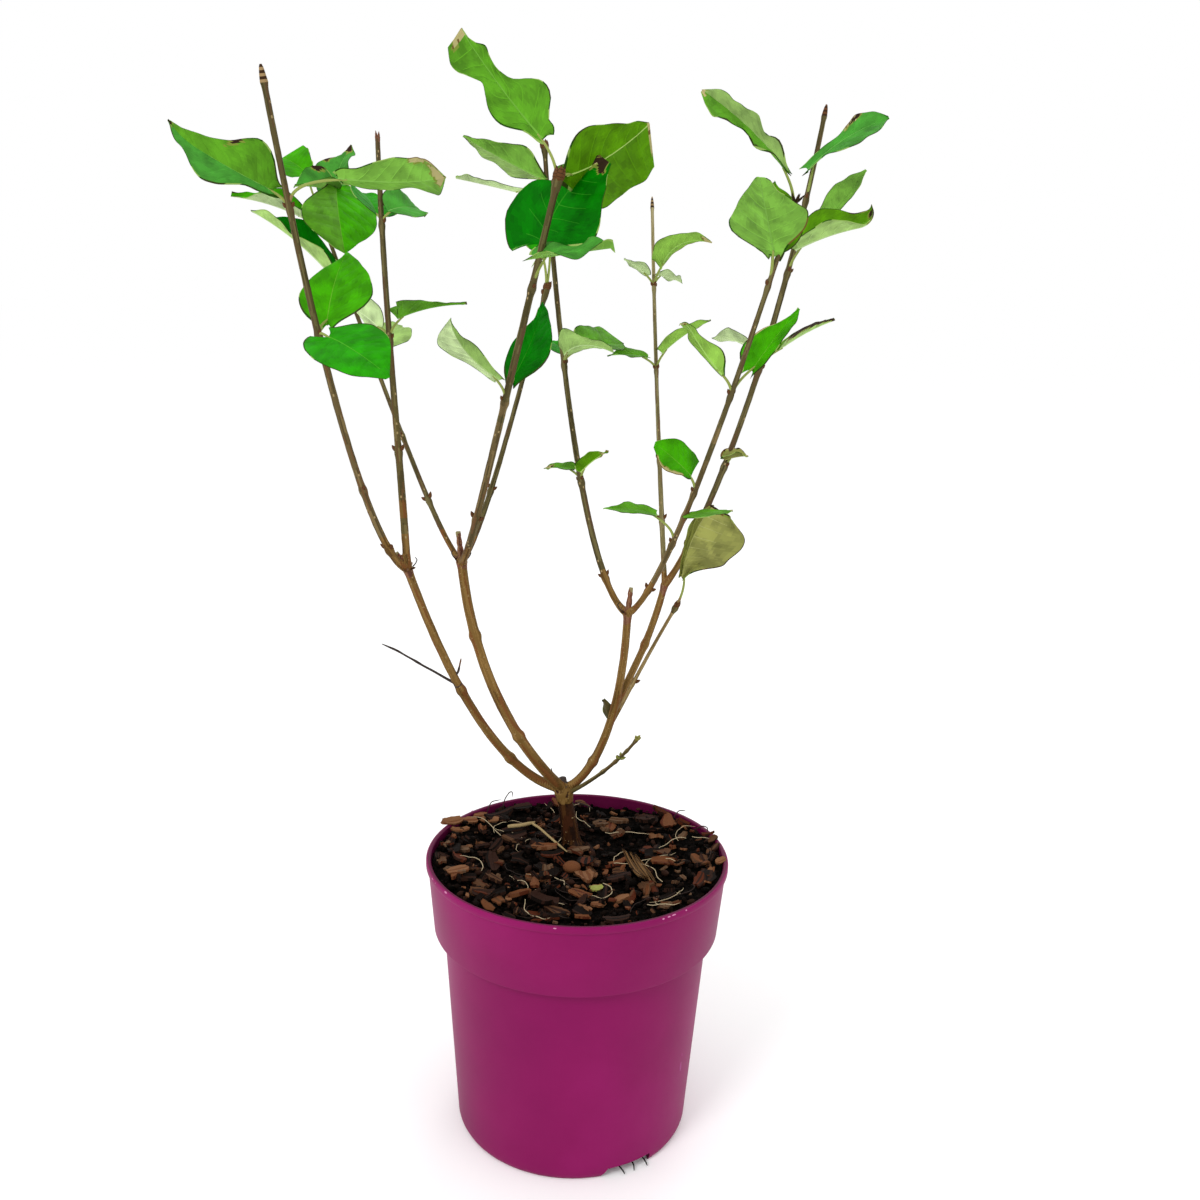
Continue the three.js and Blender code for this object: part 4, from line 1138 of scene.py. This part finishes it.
def add_blade(soup, base, leaf, phases, seed):
    """A blade with its foot at base. It returns the function that places a point on it."""
    long = leaf.size[0]
    place, up = blade_placer(base, leaf, phases)
    v = blade_sides(leaf)
    s = blade_steps(v)
    a = np.abs(v)
    rows, columns = v.shape
    surface = place(s, v, blade_relief(leaf, s, v, seed))
    normal = np.cross(np.gradient(surface, axis=0), np.gradient(surface, axis=1))
    size = np.linalg.norm(normal, axis=2)[..., None]
    normal = np.where(size > 1e-6, normal / np.maximum(size, 1e-9), up)
    thick = np.maximum(0.34, 0.01 * long) * (1 - 0.45 * a**3)
    # its veins stand out below and are sunk above
    ridge = 0.16 * min(1, long / 45) ** 2 * (ROW_FLANKS == 0)[:, None] * (1 - 0.85 * a) * (a < 0.93)
    ridge[:, columns // 2] = np.maximum(ridge[:, columns // 2], 0.5 * (1 - 0.8 * ROW_PLACES))
    top = surface + normal * (thick / 2 - 0.3 * np.minimum(ridge, 0.25))[..., None]
    bottom = surface - normal * (thick / 2 + ridge)[..., None]
    upper, lower = blade_names(leaf, s, v, surface, seed)
    names = sum(upper + lower, [])
    names += ["rim_green"] * (columns - 1) + [row[-1] for row in upper]
    names += upper[-1][::-1] + [row[0] for row in upper[::-1]]
    soup.add(np.vstack([top.reshape(-1, 3), bottom.reshape(-1, 3)]), slab_faces(rows, columns), names)
    return place


def add_leaf(soup, limb, leaf, draw, seed):
    """A blade and the stalk that carries it: the stalk leaves along the shoot and arches out."""
    node, along = limb.point(leaf.at), limb.tangent(leaf.at)
    heading, lift, length = leaf.stalk
    base = node + direction(heading, lift) * length
    place = add_blade(soup, base, leaf, (draw(), draw()), seed)
    end = place(np.array([3.5 / leaf.size[0]]), np.zeros(1), np.array([-0.55]))[0]
    armpit = node + along * 0.5 * length
    t = np.linspace(0, 1, 18)[:, None]
    path = (1 - t) ** 2 * node + 2 * t * (1 - t) * armpit + t**2 * end
    radii = np.interp(t[:, 0], (0, 0.12, 0.3, 0.8, 1), (1.15, 0.95, 0.72, 0.62, 0.4))
    tube(soup, path, radii, lambda i, j: "stalk_red" if i < 5 else "stalk", sides=8)
    out = unit(path[3] - node - along * ((path[3] - node) @ along))
    radius = float(limb.radii(np.array([limb.length_at(leaf.at)]))[0])
    bud(soup, node + out * radius * 0.7 + along * 1.6, unit(out * 0.6 + along), 2.6, 1.7)


# ---- Shoots ----

# How many buds end a shoot, and how many degrees apart they stand round it.
TIP_BUDS = {"knuckle": (6, 60), "spikes": (7, 51), "split": (2, 180), "bud": (0, 0)}
# The shoots whose last bud is pale.
PALE_BUDS = ("rear_right", "far_left")


def shoot_skins(name, limb, lengths, angles, seed):
    """A function from row and corner to the skin of a shoot: its foot is old and its end young."""
    old, tip = limb.spec["bark"], limb.spec["tip"]
    young = "pale" if old == "pale" else "olive"
    ripe_share = 0.85 if old == "straw" else 0.5

    def bark(i, j):
        length = lengths[i]
        blend = length + 30 * noise.noise(Vector((length / 13, seed, 0)))
        kind = old if blend < ripe_share * limb.length else young
        if blend < 0.12 * limb.length:
            kind = "pale" if old == "pale" else "old"
        if old == "pale" and blend > 0.8 * limb.length:
            kind = "bleached"
        if tip == "bud" and limb.length - length < 7.5:
            return "bud_dark" if i % 2 else ("bud_pale" if name in PALE_BUDS else "bud_brown")
        return bark_name(kind, length, angles[j], seed)

    return bark


def add_shoot(name, limb, seed):
    soup, draw = Soup(), random_source(500 + seed)
    sides = 14
    lengths = np.linspace(4, limb.length, int(limb.length / 1.2))
    angles = 2 * math.pi * np.arange(sides) / sides
    wander = 0.5 * np.sin(lengths / 37 + seed)
    ridge = 0.035 * np.cos(4 * (angles[None] + wander[:, None]))
    rough = over_grid(
        lambda b, z: 0.06 * noise.noise(Vector((math.cos(b) * 1.6, math.sin(b) * 1.6 + seed, z / 4))),
        angles, lengths[:, None],
    )
    radii = limb.radii(lengths, 0.1)[:, None] * (1 + ridge + rough)
    bark = shoot_skins(name, limb, lengths, angles, seed)
    tube(soup, limb.at(limb.share(lengths)), radii, bark, sides, limb.side)
    for knot in limb.spec["knots"]:
        bud_pair(soup, limb, limb.length_at(knot) + 1.5, 360 * draw(), 2.8 + draw(), "bud_brown")
    place, along = limb.point(1), limb.tangent(1)
    tip, thick = limb.spec["tip"], limb.spec["radius"][1]
    count, apart = TIP_BUDS[tip]
    for turn in range(count):
        out = direction(apart * turn + 70 * seed)
        if tip == "knuckle":
            foot, axis = place - along * 2 * thick + out * 0.8 * thick, unit(along + 0.14 * out)
            bud(soup, foot, axis, (3.4 + draw()) * thick, 1.9 * thick, "bud_brown")
        elif tip == "spikes":
            foot, axis = place - along + out * 0.7, unit(along + (0.3 + 0.6 * draw()) * out)
            bud(soup, foot, axis, 3 + 2.2 * draw(), 1.1, "bud_dark", "dead_dark")
        else:
            foot, axis = place - along * 2 + out * 0.5, unit(along + 0.12 * out)
            bud(soup, foot, axis, 5 + 3 * draw(), 1.7, "bark_stub_a", "bark_stub_b")
    soup.piece("shoot_" + name, "young_bark", ("stem_" + name, "foliage_" + name), 50)


def add_leaves(name, limb, index):
    soup, draw = Soup(), random_source(100 + index)
    for order, leaf in enumerate(limb.leaves):
        add_leaf(soup, limb, leaf, draw, seed=index * 17 + order * 3.1)
    soup.piece("leaves_" + name, "foliage", ("foliage_" + name,), 35)


# ---- The bare twigs ----


def add_twigs():
    soup, twig = Soup(), crotch_twig
    lengths = np.linspace(4, twig.length, int(twig.length / 1.2))

    def bark(i, j):
        return bark_name("grey", lengths[i], j * 0.6, 4.4)

    tube(soup, twig.at(twig.share(lengths)), twig.radii(lengths), bark, 12, twig.side)
    for turn in range(3):
        bud_pair(soup, twig, twig.length_at(0.68) + turn, 60 * turn, 3.4 - 0.5 * turn, "bud_green")
    tip, along = twig.point(1), twig.tangent(1)
    for turn in range(5):
        axis = unit(along + 0.5 * direction(72 * turn))
        bud(soup, tip - along, axis, 3.6, 1.9, "bud_green", "bud_brown")
    soup.piece("twig", "young_bark", ("twig_crotch",), 50)
    dry = Soup()
    lengths = np.linspace(3, dead_twig.length, 40)
    path = dead_twig.at(dead_twig.share(lengths))
    lumps = ((9, 1.5), (9, 4.5), (8, 7.5))
    crooked = np.array([[0.7 * wobble(point, size, seed) for size, seed in lumps] for point in path])
    path = path + crooked * np.linspace(0, 1, 40)[:, None]
    tube(dry, path, dead_twig.radii(lengths), lambda i, j: "dead" if (i * 7 + j) % 3 else "dead_dark", 8)
    dry.piece("dead_twig", "young_bark", (), 50)


# ---- Pot ----


def lathe(soup, profile, name, sides):
    """A closed profile of (radius, height) turned about the vertical axis, on which it starts and
    ends. name is a function from a stretch of the profile to its skin."""
    angles = 2 * math.pi * np.arange(sides) / sides
    points, rings = [], []
    for radius, height in profile:
        around = angles if radius else angles[:1]
        rings.append(range(len(points), len(points) + len(around)))
        points += [(radius * math.cos(a), radius * math.sin(a), height) for a in around]
    faces, names = [], []
    for index, (one, two) in enumerate(zip(rings, rings[1:])):
        for j in range(sides):
            k = (j + 1) % sides
            if len(one) == 1:
                faces.append((one[0], two[k], two[j]))
            elif len(two) == 1:
                faces.append((one[j], one[k], two[0]))
            else:
                faces.append((one[j], one[k], two[k], two[j]))
            names.append(name(index))
    soup.add(points, faces, names)


def pot_profile():
    """The pot's outside from its middle up to the lip, and its inside back down."""
    p, wall = POT, POT.wall
    outside = [
        (0, 0), (p.channel_radius - 1, 0), (p.channel_radius, 0.5), (p.channel_radius + 2, p.channel_height),
        (p.foot_radius - wall - 1, p.channel_height), (p.foot_radius - wall - 0.1, p.channel_height - 0.8),
        (p.foot_radius - wall - 0.3, 0.4), (p.foot_radius - wall + 0.1, 0), (p.foot_radius - 0.7, 0),
        (p.foot_radius, 0.6), (p.body_foot_radius - 0.3, 2.5), (p.body_foot_radius, p.body_foot_height + 0.6),
        (p.body_foot_radius + 0.3, NOTCH.height + 2.5),  # keeps the notches' cuts out of the long wall
        (p.body_top_radius - 0.05, p.body_top_height - 2), (p.body_top_radius + 0.1, p.body_top_height - 0.6),
        (p.body_top_radius + 0.7, p.body_top_height),
        (p.collar_foot_radius - 1.2, p.collar_foot_height - 0.5),
        (p.collar_foot_radius - 0.35, p.collar_foot_height - 0.2),
        (p.collar_foot_radius, p.collar_foot_height + 0.6),
        (p.collar_top_radius, p.height - p.lip_height - 0.3),
        (p.collar_top_radius + 0.3, p.height - p.lip_height),
        (p.rim_radius - 0.3, p.height - p.lip_height + 0.2), (p.rim_radius, p.height - p.lip_height + 0.8),
        (p.rim_radius, p.height - 0.9), (p.rim_radius - 0.3, p.height - 0.25), (p.rim_radius - 0.9, p.height),
    ]
    inside = [
        (p.collar_top_radius - wall + 0.6, p.height), (p.collar_top_radius - wall, p.height - 0.5),
        (p.collar_top_radius - wall, p.height - p.lip_height),
        (p.collar_foot_radius - wall, p.collar_foot_height + wall),
        (p.body_top_radius - wall, p.body_top_height + wall),
        (p.body_foot_radius - wall, p.channel_height + wall),
        (p.channel_radius + 1.2, p.channel_height + wall), (p.channel_radius - 0.8, wall), (0, wall),
    ]
    return outside, inside


def notch_cutter(heading):
    """A wedge that cuts one notch out of the pot's foot."""
    half, near, far = NOTCH.width / 2, POT.channel_radius + 6, POT.channel_radius + 26
    corners = [
        (-half, -1), (half - 1, -1), (half - 1, NOTCH.height - 0.6), (half - 1.6, NOTCH.height),
        (-half + NOTCH.chamfer, NOTCH.height), (-half, 1),
    ]
    n = len(corners)
    faces = [tuple(range(n)), tuple(range(2 * n - 1, n - 1, -1))]
    faces += [(i, i + n, (i + 1) % n + n, (i + 1) % n) for i in range(n)]
    wedge = Soup()
    wedge.add([(x, -y, z) for y in (near, far) for x, z in corners], faces, "pot_plastic")
    cutter = add_object("notch", wedge.mesh("notch"))
    cutter.data.transform(rotation(heading + 90, "Z").to_4x4())
    work = bmesh.new()
    work.from_mesh(cutter.data)
    bmesh.ops.recalc_face_normals(work, faces=work.faces)
    work.to_mesh(cutter.data)
    work.free()
    return cutter


def build_pot():
    outside, inside = pot_profile()

    def name(index):
        # the inside faces, with the flat top of the lip, take the plastic painted darker as shade
        return "pot_inside" if index < len(inside) else "pot_plastic"

    shell = Soup()
    lathe(shell, (outside + inside)[::-1], name, POT.sides)
    whole = add_object("pot_shell", shell.mesh("pot_shell"))
    dress(whole.data, shell.names)
    cutters = [notch_cutter(heading) for heading in NOTCH.headings]
    for cutter in cutters:
        cut = whole.modifiers.new("notch", "BOOLEAN")
        cut.operation, cut.solver, cut.object = "DIFFERENCE", "EXACT", cutter
    mesh = settled(whole, *cutters)
    mesh.name = "pot_body"
    place_piece("pot_body", mesh, ("pot",), 30)


def add_scuffs():
    """The small pale nicks of the lip and a worn spot on the wall."""
    soup, draw = Soup(), random_source(91)
    for heading in (203, 204, 206, 215, 262, 301, 303, 306, 312, 20, 96, 140):
        out = direction(heading + 1.5 * draw())
        along = np.array((-out[1], out[0], 0))
        place = out * (POT.rim_radius - 0.32) + UP * (POT.height - 0.3 - 0.8 * draw())
        axes = np.array((out * 0.42, along * (0.5 + 1.3 * draw()), UP * (0.3 + 0.3 * draw())))
        blob(soup, place, axes, "pot_scuff", 8, 5)
    out = direction(-30)
    for radius, height, wide, tall in ((69.9, 51, 1.0, 4.0), (70.3, 58, 0.5, 1.5)):
        axes = np.array((out * 0.45, (-out[1] * wide, out[0] * wide, 0), UP * tall))
        blob(soup, out * radius + UP * height, axes, "pot_worn", 12, 9)
    soup.piece("scuffs", "pot_plastic", (), 50)


# ---- Compost ----

CLEARANCE = 0.35  # between the compost and the pot
CHIPS, CRUMBS, ROOTLETS = 350, 1500, 40


def ground(x, y):
    """The height of the visible compost: it keeps the solid's hollows, fuller at both sides."""
    away = np.hypot(x - TRUNK.foot[0], y - TRUNK.foot[1])
    hollows = 0.5 + 0.3 * np.sin(x / 13 + 1) + 0.2 * np.cos(y / 9 - x / 17)
    dips = COMPOST.dip * np.clip(away / COMPOST.calm_radius - 1, 0, 1) * hollows
    out = np.hypot(x, y)
    banked = 3.6 * np.clip((out - 58) / 18, 0, 1) * (x / np.maximum(out, 1)) ** 2
    return COMPOST.level + 1.6 + 4 * np.clip((away - 10) / 55, 0, 1) - 0.6 * dips + banked


def build_compost():
    """The body of compost inside the pot, with a lumpy top. It returns the top's radius."""
    soup = Soup()
    inner, floor = POT.wall + CLEARANCE, POT.channel_height + POT.wall + CLEARANCE
    collar = POT.collar_foot_radius + 0.8 * (POT.collar_top_radius - POT.collar_foot_radius)
    edge = collar - POT.wall - CLEARANCE
    rings, spokes = 64, 200
    radii = edge * np.linspace(0, 1, rings + 1)[1:] ** 0.9
    angles = 2 * math.pi * np.arange(spokes) / spokes
    x, y = radii[:, None] * np.cos(angles), radii[:, None] * np.sin(angles)
    lumps = over_grid(lambda p, q: 1.2 * wobble((p, q, 0), 7, 2) + 0.8 * wobble((p, q, 3), 2.6, 3), x, y)
    z = ground(x, y) + lumps - 0.8
    walls = [
        (POT.collar_foot_radius - inner, POT.collar_foot_height + POT.wall + 0.8),
        (POT.body_top_radius - inner, POT.body_top_height + POT.wall + 0.4),
        (POT.body_foot_radius - inner, floor),
        (POT.channel_radius + 0.8, floor),
        (POT.channel_radius - 1.2, inner),
    ]
    points = np.vstack([
        np.stack([x, y, z], -1).reshape(-1, 3),
        *[np.stack([r * np.cos(angles), r * np.sin(angles), np.full(spokes, h)], -1) for r, h in walls],
        [(0, 0, ground(0, 0) - 0.8), (0, 0, inner)],
    ])
    faces = ring_faces(rings + len(walls), spokes)
    names = []
    for face in faces:
        tint = wobble(points[list(face)].mean(0), 2.2, 6)
        names.append("soil_b" if tint < -0.1 else "soil_c" if tint > 0.28 else "soil_a")
    soup.add(points, faces, names)
    soup.piece("compost_bed", "compost", ("compost",), 60)
    return edge


def chip(soup, place, size, turn, tilts, tints, draw):
    """A flake of bark: a flat fibrous slab with torn sides, in one tint streaked with another."""
    long, wide, thick = size
    rows, columns = (8, 6) if long > 6 else (4, 4)

    def torn(count, depth):
        edge = 1 - depth * np.array([draw() for _ in range(count)])
        return np.convolve(np.pad(edge, 1, mode="edge"), (0.16, 0.68, 0.16), "valid")

    u, w = np.linspace(-1, 1, rows)[:, None], np.linspace(-1, 1, columns)[None]
    ends = np.where(u < 0, torn(columns, 0.35)[None], torn(columns, 0.35)[None])
    flanks = np.where(w < 0, torn(rows, 0.4)[:, None], torn(rows, 0.4)[:, None])
    corner = 1 - 0.3 * draw() * (u * (1 if draw() > 0.5 else -1) + 1) / 2
    y = w * flanks * corner * (1 - 0.3 * u**2) * wide / 2
    x = u * ends * (1 - 0.1 * w**2) * long / 2 + 0.8 * (draw() - 0.5) * y
    bow = (draw() - 0.35) * 0.12 * long * u**2 + (draw() - 0.5) * 0.3 * wide * w**2
    fibres = thick * 0.5 * np.array([draw() - 0.5 for _ in range(columns)])[None]
    fine = 0.14 * thick * np.array([[draw() - 0.5 for _ in range(columns)] for _ in range(rows)])
    top = np.stack([x, y, bow + thick / 2 + fibres + fine], -1).reshape(-1, 3)
    bottom = np.stack([x * 0.96, y * 0.94, bow - thick / 2], -1).reshape(-1, 3)
    turning = rotation(turn, "Z") @ rotation(tilts[1], "Y") @ rotation(tilts[0], "X")
    points = np.vstack([top, bottom]) @ np.array(turning).T + place
    streaks = [tints[draw() > 0.72] for _ in range(columns - 1)]
    names = streaks * (rows - 1) + [tints[1]] * ((rows - 1) * (columns - 1))
    faces = slab_faces(rows, columns)
    names += [tints[draw() > 0.5] for _ in faces[len(names) :]]
    soup.add(points, faces, names)


PALE_CHIP, BLACK_CHIP = ("chip_tan", "chip_rust"), ("chip_black", "chip_dark")
CHIP_KINDS = (
    ("chip_brown", "chip_dark"), ("chip_rust", "chip_brown"), ("chip_dark", "chip_black"), PALE_CHIP,
    ("chip_red", "chip_dark"), BLACK_CHIP, BLACK_CHIP, ("chip_grey", "chip_brown"),
    ("chip_brown", "chip_red"), ("chip_dark", "chip_black"), ("chip_rust", "chip_red"),
    ("chip_black", "chip_red"),
)
# Where pale flakes lean on the rim at the left, and dark ones at the right.
PALE_FLAKES = ((-75, 37, 162), (-66, 43, 160.5), (-60, 53, 160.5), (-54, 48, 160), (-70, 31, 160))
DARK_FLAKES = (
    (78.5, 21, 162), (79, 12, 161.5), (80.5, -6, 162), (77, 30, 161.5), (75, 4, 161), (74, -18, 161),
)
CRUMB_KINDS = ("soil_a", "soil_b", "soil_c", "chip_black", "soil_c", "chip_dark")


def scatter_chips(chips, edge, draw):
    """Flakes all over the compost: every other one is small, and those at the rim lie along it."""
    laid = 0
    while laid < CHIPS:
        small = laid % 2
        big = draw() ** 1.3
        long = 3 + 3 * draw() if small else 7 + 12 * big
        size = (long, long * (0.35 + 0.45 * draw()), 0.7 + 0.5 * draw() if small else 1.1 + 0.9 * draw())
        away = math.sqrt(draw()) * (edge - 1.5)
        heading = 360 * draw()
        x, y = direction(heading)[:2] * away
        turn = 360 * draw() if away < edge - long / 2 else heading + 90 + 24 * (draw() - 0.5)
        near = math.hypot(x - TRUNK.foot[0], y - TRUNK.foot[1])
        if near < 6 + long / 2 or away + size[1] / 2 > edge:
            continue
        tilt = 28 * (0.5 if long > 13 else 1)
        place = np.array([x, y, float(ground(x, y)) + 0.5 + 1.9 * draw() + 0.06 * long])
        kind = CHIP_KINDS[int(draw() * len(CHIP_KINDS))]
        if x - y < -10 + 20 * draw() and x < 20 and draw() < 0.3 or draw() < 0.08:
            kind = BLACK_CHIP
        chip(chips, place, size, turn, (tilt * (2 * draw() - 1), tilt * (2 * draw() - 1)), kind, draw)
        laid += 1


def add_chips(edge, draw):
    chips = Soup()
    scatter_chips(chips, edge, draw)
    for place in PALE_FLAKES:
        size = (10 + 6 * draw(), 6 + 3 * draw(), 1.2)
        chip(chips, place, size, 30 * draw(), (20 * draw() - 4, 16 * draw() - 4), PALE_CHIP, draw)
    for place in DARK_FLAKES:
        size = (7 + 4 * draw(), 4 + 2 * draw(), 1.2)
        turn, tilts = 90 * draw(), (30 * draw() - 15, 20 * draw() - 20)
        chip(chips, place, size, turn, tilts, CHIP_KINDS[int(5 * draw())], draw)
    # a green flake
    chip(chips, (10, -38, 160), (10, 6, 1.2), 30, (12, 8), ("bud_green", "split_wood"), draw)
    # a split stick
    for k in range(5):
        place = (31 + 1.7 * k, -14 - 3 * draw(), 160.2 + 0.6 * draw())
        size, turn = (44 - 6 * draw(), 2.1, 1.4), -72 + 4 * (draw() - 0.5)
        chip(chips, place, size, turn, (20 * draw(), 1), ("split_wood", "split_wood_dark"), draw)
    chips.piece("bark_chips", "compost", (), 28)


def add_crumbs(edge, draw):
    crumbs = Soup()
    for _ in range(CRUMBS):
        away, heading = math.sqrt(draw()) * (edge - 1), 360 * draw()
        x, y = direction(heading)[:2] * away
        if math.hypot(x - TRUNK.foot[0], y - TRUNK.foot[1]) < 7:
            continue
        size = 0.5 + 1.7 * draw() ** 2
        turning = np.array(Matrix.Rotation(6.3 * draw(), 3, (draw(), draw(), draw() + 0.1)))
        axes = turning * np.array((1.4, 1, 0.8))[:, None] * size
        name = CRUMB_KINDS[int(6 * draw() ** 1.4)]
        blob(crumbs, np.array([x, y, float(ground(x, y)) + 1.2 * draw()]), axes, name)
    # a round lump in front of the trunk
    blob(crumbs, np.array([-3, -12, 159.0]), np.diag((5, 4.6, 3.2)), "chip_rust", 16, 9)
    crumbs.piece("crumbs", "compost", (), 50)


ROOTS_OVER_RIM = (
    [(-47, 63, 160), (-46, 66, 165), (-43, 66, 170), (-41, 64, 171), (-41, 63, 168)],
    [(-56, 58, 160), (-54, 62, 165), (-48, 63, 166)],
    [(57, 52, 160), (61, 55, 165), (65, 53, 166)],
    [(69, 38, 160), (74, 36, 164), (77, 33, 164), (76, 30, 161)],
)
ROOTLET_BENDS, ROOTLET_STEP = 9, 3.4
# A bent dry twig in two lengths, each with its radius and its number of rings.
BENT_TWIG = (
    ([(-42, 36, 160.5), (-34, 37, 161), (-26, 41, 161.5)], 1.2, 24),
    ([(-28, 40, 161.3), (-23, 34, 161), (-14, 19, 160), (-6, 10, 157.5)], 0.75, 40),
)


def add_litter(edge):
    """Rootlets on the compost, roots over the rim and out of the front notch, and a dry twig."""
    soup, draw = Soup(), random_source(77)
    for index in range(ROOTLETS):
        away, heading = (0.3 + 0.6 * draw()) * edge, 360 * draw()
        x, y = direction(heading)[:2] * away
        path, course, bend = [], 360 * draw(), 50 * (draw() - 0.5)
        for _ in range(ROOTLET_BENDS):
            path.append((x, y, float(ground(x, y)) + 2.4 + 1.8 * draw()))
            x, y = np.array((x, y)) + direction(course)[:2] * ROOTLET_STEP
            course += bend + 50 * (draw() - 0.5)
            if math.hypot(x, y) > edge - 1:
                break
        if len(path) > 3:
            name = "rootlet" if index % 3 else "root_dark"
            thread(soup, path, 0.15 + 0.1 * draw(), name, count=len(path) * 5)
    for path in ROOTS_OVER_RIM:
        thread(soup, path, 0.35, "root_dark", count=24)
    to_notch = np.array(rotation(NOTCH.headings[0] + 90, "Z"))
    for x in (-5, 3, 10):
        path = [(x, -60, 4), (x + 1, -66, 2.6), (x + 2 - 3 * draw(), -69, 1.2)]
        thread(soup, [to_notch @ place for place in path], 0.45, "chip_black", count=12)
    for path, radius, count in BENT_TWIG:
        thread(soup, path, radius, "dry_wood", 8, count)
    soup.piece("litter", "compost", (), 50)


# ---- Build everything ----

build_wood()
add_scales()
for index, (name, limb) in enumerate(shoots.items()):
    add_shoot(name, limb, index + 1)
    add_leaves(name, limb, index)
add_twigs()
build_pot()
add_scuffs()
soil_edge = build_compost()
mulch_draw = random_source(29)  # chips and crumbs draw from one source, in this order
add_chips(soil_edge, mulch_draw)
add_crumbs(soil_edge, mulch_draw)
add_litter(soil_edge)

# ---- Floor, light and camera ----

FLOOR_REACH = 30  # in metres, as are all places and sizes below
CAMERA = SimpleNamespace(place=(0, -0.626, 0.463), pitch=13.77, yaw=0.79, roll=1.62, sensor=36, lens=36)
# Each softbox's place, size and power: they all face the lit spot.
LIT_SPOT = Vector((0, 0, 0.3))
SOFTBOXES = {
    "key": ((-0.9, -1.3, 1.5), 0.7, 14),
    "fill": ((1.3, -1.0, 1.0), 1.2, 3),
    "back": ((0.4, 1.6, 1.5), 1.0, 4),
}

scene = bpy.context.scene
scene.view_settings.view_transform = "Standard"

floor_mesh = bpy.data.meshes.new("floor")
corners = [(FLOOR_REACH * x, FLOOR_REACH * y, 0) for x, y in ((-1, -1), (1, -1), (1, 1), (-1, 1))]
floor_mesh.from_pydata(corners, [], [(0, 1, 2, 3)])
skin("floor", "#ffffff", 0.9, gloss=0)
floor_mesh.materials.append(skins["floor"])
floor = add_object("floor", floor_mesh)

scene.world = bpy.data.worlds.new("studio")
scene.world.use_nodes = True
backdrop = scene.world.node_tree.nodes["Background"]
backdrop.inputs["Color"].default_value = (1, 1, 1, 1)
backdrop.inputs["Strength"].default_value = 1.0

for name, (place, size, power) in SOFTBOXES.items():
    lamp = bpy.data.lights.new(name, "AREA")
    lamp.shape = "DISK"
    lamp.size = size
    lamp.energy = power
    softbox = add_object(name, lamp)
    softbox.location = place
    softbox.rotation_euler = (LIT_SPOT - Vector(place)).to_track_quat("-Z", "Y").to_euler()

camera_data = bpy.data.cameras.new("camera")
camera_data.sensor_width = CAMERA.sensor
camera_data.lens = CAMERA.lens
camera_data.clip_start = 0.01
camera_data.clip_end = 100
camera = add_object("camera", camera_data)
pitch, yaw, roll = (math.radians(angle) for angle in (CAMERA.pitch, CAMERA.yaw, CAMERA.roll))
forward = Vector((math.sin(yaw) * math.cos(pitch), math.cos(yaw) * math.cos(pitch), -math.sin(pitch)))
level = Vector((math.cos(yaw), -math.sin(yaw), 0))
above = level.cross(forward)
sideways = math.cos(roll) * level + math.sin(roll) * above
upwards = -math.sin(roll) * level + math.cos(roll) * above
facing = Matrix((sideways, upwards, -forward)).transposed().to_4x4()
camera.matrix_world = Matrix.Translation(CAMERA.place) @ facing
scene.camera = camera

bpy.context.view_layer.update()
